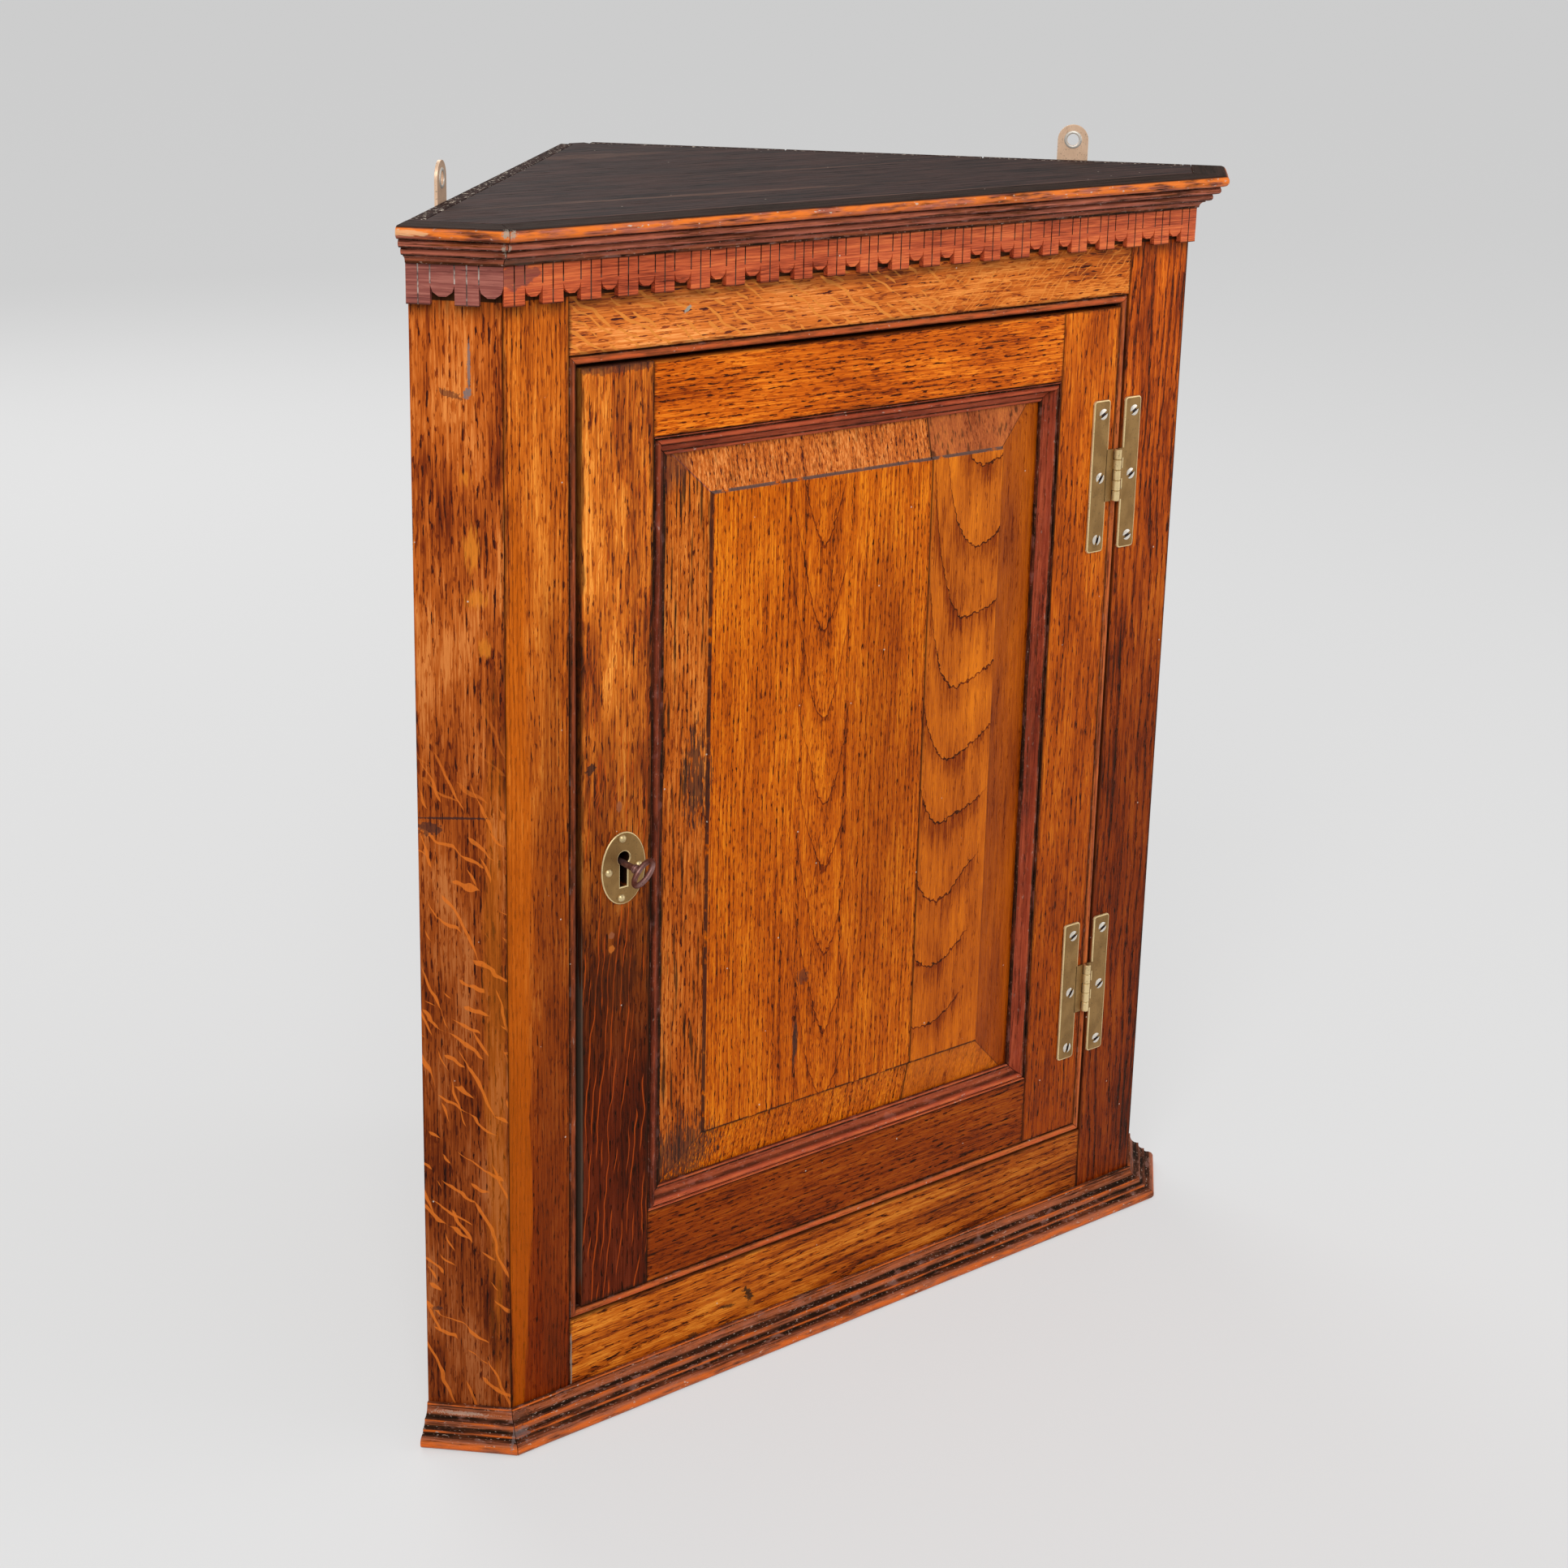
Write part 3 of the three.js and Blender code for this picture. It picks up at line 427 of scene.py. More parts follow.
def timber(name, tones, lie, seed, **changes):
    """Polished oak: rings, open pores, flecks, dirt towards the edges, painted shade behind and below the
    frieze, painted light and shade from end to end, and the marks of its own board.
    """
    look = {**PLAIN_LOOK, **changes}
    finish = Finish(name)
    across, depth, along, place, upright = board_space(finish, lie)
    rings = ring_field(finish, across, along, place, look, seed)
    ring_share = finish.chance(finish.math("FLOOR", rings) + seed * 7)
    early = finish.math("FRACT", rings).step(look["band"], 0.04) * (ring_share * 0.8 + 0.2)
    dash_width, dash_length = look["dash"]
    pore_noise = finish.grain(place, (dash_width, dash_width, dash_length), seed + 3)
    pores = pore_noise.step(*look["cut"]) * (early * 0.9 + 0.25)
    fibre = finish.grain(place, (0.9, 0.9, 22), seed + 4, 3)
    streak = finish.grain(place, (4.5, 4.5, 110), seed + 5, 3)
    cloud = finish.grain(place, (24, 24, 95), seed + 6, 5)

    level = (fibre - 0.5) * look["fibre"] + (streak - 0.5) * look["streak"] + (cloud - 0.5) * look["cloud"]
    level = level - early * look["stripe"] - pores * look["pores"] + look["level"]
    if look["figure"]:
        line, under = figure_masks(finish, across, along, place, look["figure"], seed)
        level = level - line - under
    colour = tone_scale(finish, level, tones)
    # Painted light and shade: a board tinted lighter at one end and darker at the other, and some boards
    # darker overall, as the lamp light falls across the front.
    if look["tints"]:
        head, foot = (against(tint, OAK_MEAN) for tint in look["tints"])
        travel = along if look["lengthwise"] else upright
        tint = finish.mix(travel.step(*look["turn_over"]), head, foot)
        colour = finish.mix(1, colour, tint, "MULTIPLY")
    for index, flecks in enumerate(look["flecks"]):
        mask = fleck_mask(finish, across, along, flecks, seed + index * 5)
        colour = finish.mix(mask, colour, tones["fleck"])
    if look["field"]:
        at_front = depth.step(*(lie["back"] - reach for reach in FRONT_DEPTHS))
        bevelled = fielded(finish, colour, across, along, place, look["field"], tones, seed)
        colour = finish.mix(at_front, colour, bevelled)
    dirt_and_shade = None
    if look["bands"]:
        colour, dirt_and_shade = banded(finish, colour, place, look["bands"], tones, seed)
    elif look["edge"]:
        dirt_and_shade = edge_dirt(finish, lie, across, along, place, look, seed)
    # Painted shade: near black in the notches behind the frieze, and a streaky darkening that fades out below
    # it.
    if look["hood"]:
        shadow = upright.step(*(look["hood"] + reach for reach in HOOD_SHADE)) * 0.96
        darkening = upright.step(look["hood"] - HOOD_SHADE_REACH, look["hood"]) * streak.step(0.25, 0.6) * 0.6
        dirt_and_shade = finish.most(dirt_and_shade, darkening, shadow)
    if dirt_and_shade:
        colour = finish.mix(dirt_and_shade, colour, tones["grime_and_shade"])
    if lie.get("capped"):
        capped = upright.step(*(TOP_Z / MM - reach for reach in CAP_DEPTHS))
        aged = (tuple(level * share for level in tones["cap"]) for share in (0.45, 1.35))
        colour = finish.mix(capped, colour, finish.mix((fibre + streak).step(0.8, 1.2), *aged))
        splinters = finish.grain(place, (2.6, 2.6, 7), seed + 13, 3).step(0.6, 0.64)
        at_top = upright.step(*(TOP_Z / MM - reach for reach in SPLINTER_DEPTHS)) * look["splintered"]
        colour = finish.mix(splinters * at_top, colour, tones["chip"])
    for index, each in enumerate(look["marks"]):
        colour = finish.mix(mark_mask(finish, across, along, place, each, seed + index), colour, each["tone"])
    colour = specked(finish, place, colour, tones, seed)

    roughness = pores * 0.25 + fibre * 0.14 + cloud * 0.2 + (look["rough"] - 0.17)
    if dirt_and_shade:
        roughness = roughness + dirt_and_shade * 0.3
    if lie.get("capped"):
        roughness = roughness + capped * 0.4
    wave = finish.grain(place, (22, 22, 60), seed + 9, 1)
    height = wave * 1.4 + fibre * 0.3 - pores * 0.7 - early * 0.12
    return finish.shade(colour, roughness, height, 0.35, warm=look["warm"])


def mark_mask(finish, across, along, place, each, seed):
    """Where a mark lies: an ellipse with a ragged edge, turned about its middle."""
    level, climb = slanted(across - each["at"][0], along - each["at"][1], each["tilt"])
    half_level, half_climb = each["half"]
    reach = finish.math("SQRT", (level / half_level) ** 2 + (climb / half_climb) ** 2)
    ragged = (finish.grain(place, each["lump"], seed + 31, 3) - 0.5) * each["ragged"]
    return (reach + ragged).step(1, 1 - each["soft"]) * each["strength"]


def edge_dirt(finish, lie, across, along, place, look, seed):
    """Dirt that gathers along a board's edges, deeper in some places than in others."""
    low_across, high_across, low_along, high_along = lie["limits"]
    nearest = finish.least(across - low_across, high_across - across, along - low_along, high_along - along)
    drift = finish.grain(place, (6, 6, 22), seed + 7, 4)
    reach = nearest - (drift - 0.5) * look["edge_width"] * 3
    line = nearest.step(*JOINT_LINE) * 0.75
    return finish.most(reach.step(look["edge_width"], 0) * look["edge"], line)


def banded(finish, colour, place, bands, tones, seed):
    """A moulding's crests, lightened for rubbed wear and painted highlight, and its quirks, darkened for dirt
    and painted shade: stops along its profile from one edge to the other.
    """
    travel = finish.split(finish.millimetres())["XYZ".index(bands["axis"])]
    start, end = bands["from"], bands["to"]
    share = (travel - start) / (end - start)
    quirks, crests = (finish.node("ShaderNodeValToRGB", {"stops": bands[kind]}, {"Fac": share})
                      for kind in ("dirt_and_shade", "light"))
    smear = finish.grain(place, (4, 4, 22), seed + 8, 4)
    scuff = finish.grain(place, (7, 7, 12), seed + 10, 4)
    colour = finish.mix(crests * smear.step(0.34, 0.6), colour, bands["crest"])
    dust = scuff.step(0.55, 0.66) * bands["dust"]
    colour = finish.mix(quirks * dust, colour, tones["dust"])
    crumbs = finish.grain(place, (1.3, 1.3, 2.8), seed + 12).step(0.64, 0.68) * bands["crumbs"]
    colour = finish.mix(quirks * crumbs, colour, tones["chip"])
    moulding_marks = crests * finish.grain(place, (2.2, 2.2, 5), seed + 11, 3).step(0.66, 0.7)
    colour = finish.mix(moulding_marks * 0.75, colour, tones["chip"])
    covered = 1 - finish.most(dust, crumbs)
    return colour, quirks * (smear.step(0.8, 0.4) * 0.4 + 0.6) * covered


def specked(finish, place, colour, tones, seed):
    """Sparse pale specks: dust, and painted glints of the polish."""
    shifted = finish.stretched(place, (22, 22, 22), (seed * 1.3, seed * 2.9, seed * 0.7))
    cells = finish.node("ShaderNodeTexVoronoi", None, {"Vector": shifted, "Scale": 1, "Randomness": 1},
                        output="Distance")
    return finish.mix(cells.step(0.034, 0.02) * 0.85, colour, tones["chip"])


SPOT_TONE = (0.06, 0.045, 0.03)
PIT_TONE = (0.02, 0.014, 0.012)


def brass_finish(name, tone, seed, tarnish=0.5, metallic=0.8):
    """Old brass: rubbed bright in places, olive and spotted in others."""
    finish = Finish(name)
    place = finish.millimetres()
    cloud = finish.grain(place, (9, 9, 14), seed, 4)
    spots = finish.grain(place, (1.3, 1.3, 1.3), seed + 1, 3)
    brush = finish.grain(place, (0.35, 0.35, 9), seed + 2)
    dull = (tone[0] * 0.55, tone[1] * 0.5, tone[2] * 0.42)
    colour = finish.mix(cloud.step(0.36, 0.66) * tarnish, tone, dull)
    colour = finish.mix(spots.step(0.6, 0.72) * 0.5, colour, SPOT_TONE)
    height = spots * -0.4 + brush * 0.25 + cloud
    return finish.shade(colour, cloud * 0.25 + brush * 0.12 + 0.24, height, 0.06, metallic, 0.5)


def iron_finish(name, tone, seed):
    """Iron gone brown, with rust and rubbed arrises."""
    finish = Finish(name)
    place = finish.millimetres()
    cloud = finish.grain(place, (6, 6, 6), seed, 4)
    pits = finish.grain(place, (0.7, 0.7, 0.7), seed + 1, 3)
    rust = (tone[0] * 0.7, tone[1] * 0.45, tone[2] * 0.35)
    colour = finish.mix(cloud.step(0.4, 0.65) * 0.8, tone, rust)
    colour = finish.mix(pits.step(0.58, 0.7) * 0.6, colour, PIT_TONE)
    return finish.shade(colour, cloud * 0.3 + pits * 0.15 + 0.22, pits * -1, 0.1, 0.75, 0.5)


# How bright a palette's tones are against its one colour or its body
DRY_SHARES = {"bright": 1.45, "mid": 1, "deep": 0.55, "pore": 0.22, "grime_and_shade": 0.2}
RUN_BRIGHTNESS = 1.45
CAP_SHARE = 0.62


def oak_tones(scene, **changes):
    """The polished oak's palette, with a board's own changes."""
    tones = scene.cupboard_tones
    return {"bright": tones.oak_bright, "mid": tones.oak_mid, "deep": tones.oak_deep, "pore": tones.oak_pore,
            "fleck": tones.oak_fleck, "grime_and_shade": tones.grime_and_shade, "chip": tones.chip, **changes}


def red_tones(scene, **changes):
    """The mouldings' palette, with a piece's own changes."""
    tones = scene.cupboard_tones
    return {"bright": tones.red_bright, "mid": tones.red_mid, "deep": tones.red_deep, "pore": tones.grime_and_shade,
            "grime_and_shade": tones.grime_and_shade, "dust": tones.dust, "chip": tones.chip,
            "cap": tuple(Vector(tones.top_wood) * CAP_SHARE), **changes}


def dry_tones(scene, base):
    """A palette for unpolished wood, worked out from its one colour."""
    shades = {name: tuple(Vector(base) * share) for name, share in DRY_SHARES.items()}
    return {**shades, "chip": scene.cupboard_tones.chip, "cap": scene.cupboard_tones.top_wood}


def mark(at, half, strength, tone, ragged=1.2, lump=None, tilt=0, soft=0.25):
    """A stain, chip or scratch: its middle and half sizes across and along a board, in millimetres."""
    return {"at": at, "half": half, "strength": strength, "tone": tone, "ragged": ragged,
            "lump": lump or (min(half) * 0.7,) * 3, "tilt": tilt, "soft": soft}


# A level board, whose edges gather no dirt
FLAT_LIE = {"grain": "FLAT"}


def box_in_mm(node):
    """A node's two corners in millimetres."""
    return [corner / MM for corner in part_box(node)]


def face_lie(node, grain="Z"):
    """How a board of the front lies, from its node's box."""
    low, high = box_in_mm(node)
    upright, level = (low.z, high.z), (low.x, high.x)
    limits = (*level, *upright) if grain == "Z" else (*upright, *level)
    return {"grain": grain, "limits": limits, "back": high.y}


def rail_lie(node, left, right):
    """How a rail lies between two stiles, whose mortises hold the rest of it."""
    low, high = box_in_mm(node)
    return {"grain": "X", "limits": (low.z, high.z, left / MM, right / MM)}


def run_lie(side):
    """How a run of moulding lies along its own face."""
    turn = {"left": WALL_TURN, "front": 0, "right": -WALL_TURN}[side]
    corner = {"left": RETURN_END, "front": (FRAME_LEFT, FACE_Y), "right": (FRAME_RIGHT, FACE_Y)}[side]
    return {"grain": "X", "turn": turn, "corner": corner}


def return_lie(side):
    """How a return board lies: along its own face, at half a right angle to the front."""
    low, high = box_in_mm(f"return_{side}")
    return {**run_lie(side), "grain": "Z", "limits": (0, RETURN_WIDTH, low.z, high.z)}


def wall_lie(node, side):
    """How a plank of a wall side lies, along the wall."""
    low, high = box_in_mm(node)
    inset = PLANK_THICKNESS / MM * math.sin(WALL_TURN)
    corner = RETURN_END if side == "left" else (-RETURN_END[0], RETURN_END[1])
    first, last = (low.x, high.x - inset) if side == "left" else (low.x + inset, high.x)
    ends = [(x - corner[0] / MM) / math.cos(WALL_TURN) for x in (first, last)]
    return {"grain": "Z", "turn": -WALL_TURN if side == "left" else WALL_TURN, "corner": corner,
            "limits": (*ends, low.z, high.z), "capped": True}


# How edges are found, shaded and worn: angles in degrees
MERGE = 0.01 * MM
FLAT_ANGLE = 1
SHARP_ANGLE = 40
CREASE_ANGLE = 38
WEAR_PITCH = 14 * MM
WEAR_LUMP = 28 * MM
SQUARE = 0.995


def merged_form(node):
    """A node's solid as an editable form, its loose triangles merged into flat faces."""
    form = bmesh.new()
    form.from_mesh(frame["nodes"][node].data)
    bmesh.ops.remove_doubles(form, verts=form.verts, dist=MERGE)
    bmesh.ops.dissolve_limit(form, angle_limit=math.radians(FLAT_ANGLE), use_dissolve_boundaries=False,
                             verts=form.verts, edges=form.edges)
    return form


def convex_edges(form):
    """The form's sharp outward edges."""
    form.normal_update()
    limit = math.radians(SHARP_ANGLE)
    return [edge for edge in form.edges
            if len(edge.link_faces) == 2 and edge.is_convex and edge.calc_face_angle() > limit]


def ease(form, edges, width, segments=2, clamp=True):
    """Bevels edges by a width."""
    if edges and width:
        bmesh.ops.bevel(form, geom=edges, offset=width, offset_type="OFFSET", segments=segments, profile=0.5,
                        affect="EDGES", clamp_overlap=clamp, material=-1)


def cut(form, place, normal):
    """Cuts a form's faces along a plane and keeps both sides."""
    bmesh.ops.bisect_plane(form, geom=form.verts[:] + form.edges[:] + form.faces[:], dist=MERGE,
                           plane_co=place, plane_no=normal)


def slice_along(form, axis):
    """Cuts a form across its length at every pitch, so that wear can bend it."""
    places = [vert.co.dot(axis) for vert in form.verts]
    place = min(places) + WEAR_PITCH
    while place < max(places) - WEAR_PITCH / 2:
        cut(form, axis * place, axis)
        place += WEAR_PITCH


def rub(form, amount, seed):
    """Rubs a surface back unevenly, never outwards."""
    form.normal_update()
    shift = Vector((seed * 1.7, seed * 0.9, seed * 2.3))
    moves = []
    for vert in form.verts:
        level = noise.noise(vert.co / WEAR_LUMP + shift) * 0.5 + 0.5
        moves.append(-vert.normal * amount * level ** 1.5)
    for vert, move in zip(form.verts, moves):
        vert.co += move


def piece_of(form, name):
    """A form as a finished piece, smooth but for its creases."""
    mesh = bpy.data.meshes.new(name)
    for face in form.faces:
        face.smooth = True
    form.to_mesh(mesh)
    form.free()
    mesh.set_sharp_from_angle(angle=math.radians(CREASE_ANGLE))
    piece = bpy.data.objects.new(name, mesh)
    bpy.context.scene.collection.objects.link(piece)
    shading = piece.modifiers.new("Even shading", "WEIGHTED_NORMAL")
    shading.keep_sharp = True
    return piece


def rim_faces(form, axes="xyz"):
    """Gives the faces that aren't square to the axes, such as bevels, the piece's second material."""
    form.normal_update()
    for face in form.faces:
        square = max(abs(getattr(face.normal, axis)) for axis in axes) > SQUARE
        face.material_index = 0 if square else 1


def settle(piece, materials, slot, body, *nodes):
    """Gives a piece its finishes, its body and the nodes it stands for."""
    for material in materials:
        piece.data.materials.append(material)
    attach(piece, body)
    if nodes:
        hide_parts(*nodes)


def dress(node, material, slot, edge, along=None, wear=0, seed=1):
    """A worn copy of a node in its place."""
    form = merged_form(node)
    ease(form, convex_edges(form), edge)
    if along is not None:
        slice_along(form, along)
        rub(form, wear, seed)
    settle(piece_of(form, f"{node}_dressed"), [material], slot, frame["nodes"][node]["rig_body"], node)


def dress_board(scene, node, wood, tones, seed, lie=None, slot="oak", **look):
    """A board in timber of its own."""
    material = timber(wood, tones, lie or face_lie(node), seed, **look)
    dress(node, material, slot, scene.cupboard_sizes.board_edge)


SIDES = ("top", "bottom", "left", "right")
RUNS = ("left", "front", "right")
UP = Vector((0, 0, 1))
RIGHT = Vector((1, 0, 0))
TO_ROOM = Vector((0, -1, 0))
WALL_OUTWARD = {"left": Vector((-1, 1, 0)).normalized(), "right": Vector((1, 1, 0)).normalized()}
SLANT = {"left": Vector((1, -1, 0)).normalized(), "right": Vector((1, 1, 0)).normalized(), "front": RIGHT}


def make_carcase_boards(scene):
    """Top, bottom, corner post, shelves and their bearers."""
    dry = dry_tones(scene, scene.cupboard_tones.plain_wood)
    black = dry_tones(scene, scene.cupboard_tones.top_wood)
    scuff = srgb(122, 88, 72)
    scuffs = (
        mark((FACE_Y / MM + 3, 60), (1.3, 330), 0.6, scuff, 1.8, (3, 3, 30)),
        mark((-110, -130), (5, 170), 0.45, scuff, 3, (2, 2, 40), tilt=2),
        mark((-20, 60), (3, 110), 0.35, scuff, 3, (2, 2, 30)),
        mark((120, -40), (14, 60), 0.3, scuff, 3.4, (3, 3, 30)),
    )
    dress_board(scene, "top_board", "blackened_top", black, 11, FLAT_LIE, "dark_oak", ring=9, stripe=0.2,
                pores=0.4, dash=(1.6, 30), fibre=1.8, streak=2.4, cloud=1.4, edge=0, rough=0.75, wander=14,
                marks=scuffs, warm=False)
    plain = {"edge": 0, "rough": 0.8, "pores": 0.35, "warm": False}
    for seed, node, wood, lie in ((12, "bottom_board", "bottom_wood", FLAT_LIE),
                                  (13, "corner_post", "post_wood", face_lie("corner_post")),
                                  (14, "shelf_lower", "shelf_wood_lower", FLAT_LIE),
                                  (15, "shelf_upper", "shelf_wood_upper", FLAT_LIE)):
        dress_board(scene, node, wood, dry, seed, lie, "plain_oak", **plain)
    bearer = timber("bearer_wood", dry, face_lie("shelf_bearer_lower_left", "X"), 16, **plain)
    for level in ("lower", "upper"):
        for side in WALL_OUTWARD:
            dress(f"shelf_bearer_{level}_{side}", bearer, "plain_oak", scene.cupboard_sizes.board_edge)


PLANK_SHADES = {"left": (0.82, 1, 0.72), "right": (0.95, 0.78, 1.08)}
PLANK_SEEDS = {"left": 20, "right": 23}


def make_back(scene):
    """The wall sides: three upright planks each, nailed to the boards and shelves."""
    tones = scene.cupboard_tones
    heads = bmesh.new()
    for side in WALL_OUTWARD:
        for index, shade in enumerate(PLANK_SHADES[side], 1):
            node = f"back_plank_{side}_{index}"
            dry = dry_tones(scene, Vector(tones.plain_wood) * shade)
            dress_board(scene, node, f"plank_wood_{side}_{index}", dry, PLANK_SEEDS[side] + index,
                        wall_lie(node, side), "plain_oak", ring=7, pith=(90 + 110 * index, 26, 0.06),
                        stripe=0.35, pores=0.45, cloud=1.6, rough=0.82, splintered=0.8, warm=False)
            nail_plank(heads, node, side)
    settle(piece_of(heads, "back_nails"), [iron_finish("nail_iron", tones.iron, 27)], "iron", "carcase")


NAIL_PROFILE = ((0, 0.35), (1.6, 0.3), (2.5, 0.1), (2.7, -0.5), (0, -0.5))
NAIL_SHARES = (0.22, 0.78)
NAIL_STAGGER = 5 * MM
NAIL_STEPS = 12


def nail_plank(heads, node, side):
    """Two nail heads at each board and shelf that a plank is nailed to."""
    low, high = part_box(node)
    outward = WALL_OUTWARD[side]
    inset = PLANK_THICKNESS * abs(outward.x)
    if side == "left":
        first, last = Vector((low.x, low.y + inset, 0)), Vector((high.x - inset, high.y, 0))
    else:
        first, last = Vector((low.x + inset, high.y, 0)), Vector((high.x, low.y + inset, 0))
    for board in ("bottom_board", "shelf_lower", "shelf_upper", "top_board"):
        level = sum(corner.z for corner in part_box(board)) / 2
        for share in NAIL_SHARES:
            place = first.lerp(last, share)
            place.z = level + (share - 0.5) * NAIL_STAGGER
            turned(heads, NAIL_PROFILE, place, outward, NAIL_STEPS)


def turned(form, profile, place, axis, steps, ring=False):
    """Spins a profile of radius and height in millimetres about an axis; a ring's closes on itself."""
    side = axis.orthogonal().normalized()
    verts = [form.verts.new(place + (side * radius + axis * height) * MM) for radius, height in profile]
    pairs = zip(verts, verts[1:] + verts[:1] if ring else verts[1:])
    edges = [form.edges.new(pair) for pair in pairs]
    bmesh.ops.spin(form, geom=verts + edges, cent=place, axis=axis, angle=math.tau, steps=steps,
                   use_merge=True)
    bmesh.ops.remove_doubles(form, verts=form.verts, dist=MERGE)
    bmesh.ops.recalc_face_normals(form, faces=form.faces)


def make_face_frame(scene):
    """Stiles, rails and the cock bead round the opening."""
    oak = oak_tones(scene)
    left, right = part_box("cock_bead_left")[0].x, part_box("cock_bead_right")[1].x
    golden = mark((-302, 330), (12, 400), 0.4, srgb(228, 110, 4), 1.1, (5, 5, 70))
    shade = mark((-274, 280), (14, 430), 0.32, srgb(112, 46, 16), 1.1, (5, 5, 70), soft=0.4)
    dress_board(scene, "frame_stile_left", "stile_oak_left", oak, 31, ring=3.4, hood=HOOD_LEVEL,
                pith=(-420, 30, 0), tints=((207, 106, 30), (115, 36, 3)), stripe=0.3, marks=(golden, shade))
    dress_board(scene, "frame_stile_right", "stile_oak_right", oak, 32, ring=6.4, hood=HOOD_LEVEL,
                pith=(430, 60, 0.04), wander=16, stripe=0.45, cloud=1.3, tints=((205, 92, 16), (124, 44, 3)),
                turn_over=(860, 300))
    comets = {"tilt": 122, "length": 20, "spacing": 7, "width": 0.16, "sway": 12, "strength": 0.95,
              "sparse": 0.41, "stretch": (-240, 40, 60)}
    ripples = {"tilt": 50, "length": 14, "spacing": 4.5, "width": 0.14, "sway": 12, "strength": 0.7,
               "sparse": 0.42, "stretch": (70, 250, 60)}
    chip = mark((801, -166), (1.5, 4), 0.95, srgb(168, 164, 152), tilt=-40)
    dress_board(scene, "frame_rail_top", "rail_oak_top", oak, 33, rail_lie("frame_rail_top", left, right),
                ring=4.4, pith=(1000, 60, 0), flecks=(comets, ripples), dash=(1.2, 8), marks=(chip,),
                hood=HOOD_LEVEL, tints=((199, 100, 32), (220, 121, 54)), turn_over=(240, -200),
                lengthwise=True, stripe=0.12)
    darkening = srgb(44, 30, 22)
    marks = (
        mark((40, -104), (9, 17), 0.55, srgb(206, 112, 28), 2, (3, 3, 12), tilt=16),
        mark((43, -98), (8, 3.4), 0.9, darkening, 3.2, (1.4, 1.4, 3), tilt=-30),
        mark((39, -118), (1.6, 8), 0.8, darkening, 2.4, tilt=10),
        mark((26, -150), (1.8, 5), 0.7, darkening, 2.4),
        mark((46, left / MM + 0.8), (27, 0.8), 0.75, srgb(150, 136, 124), 1.6, (5, 2, 2)),
    )
    dress_board(scene, "frame_rail_bottom", "rail_oak_bottom", oak, 34,
                rail_lie("frame_rail_bottom", left, right), ring=6, pith=(20, 24, 0.05), wander=12,
                tints=((163, 78, 18), (188, 95, 22)), turn_over=(240, -200), lengthwise=True, stripe=0.35,
                cloud=1.3, marks=marks)
    for index, side in enumerate(SIDES):
        light = BEAD_LIGHT if side in ("top", "bottom") else BEAD_SHADE
        dress_strip(scene, f"cock_bead_{side}", side, f"bead_wood_{side}", red_tones(scene), 35 + index,
                    BEAD_DIRT_AND_SHADE, light, srgb(218, 100, 52), 0.55, wear=0.6, rub_seed=index, pores=0.4,
                    level=BEAD_LEVELS[side])


# Painted light and shade: each bead set lighter or darker by which way it faces, the left darkest; the dirt
# stops darken the gaps beside a bead with dirt and painted shade.
BEAD_LEVELS = {"top": 0.74, "bottom": 0.86, "left": 0.46, "right": 0.84}
BEAD_DIRT_AND_SHADE = ((0, 1), (0.14, 0.85), (0.24, 0.05), (0.78, 0.05), (0.9, 0.9), (1, 1))
BEAD_LIGHT = ((0, 0), (0.28, 0.3), (0.42, 0.9), (0.6, 0.9), (0.75, 0.3), (1, 0))
BEAD_SHADE = ((0, 0), (0.3, 0.1), (0.5, 0.3), (0.7, 0.1), (1, 0))


def dress_strip(scene, node, side, wood, tones, seed, dirt_and_shade, light, crest, dust, wear, rub_seed, **look):
    """A mitred strip of a surround, banded from its outer edge inwards."""
    sizes = scene.cupboard_sizes
    low, high = box_in_mm(node)
    level = side in ("top", "bottom")
    first, last = (low.z, high.z) if level else (low.x, high.x)
    if side in ("top", "right"):
        first, last = last, first
    bands = {"axis": "Z" if level else "X", "from": first, "to": last, "dirt_and_shade": dirt_and_shade, "light": light,
             "crest": crest, "dust": dust, "crumbs": 0.25}
    material = timber(wood, tones, face_lie(node, "X" if level else "Z"), seed, ring=3, bands=bands, **look)
    dress(node, material, "red_oak", sizes.moulding_edge, RIGHT if level else UP, sizes.wear * wear, rub_seed)


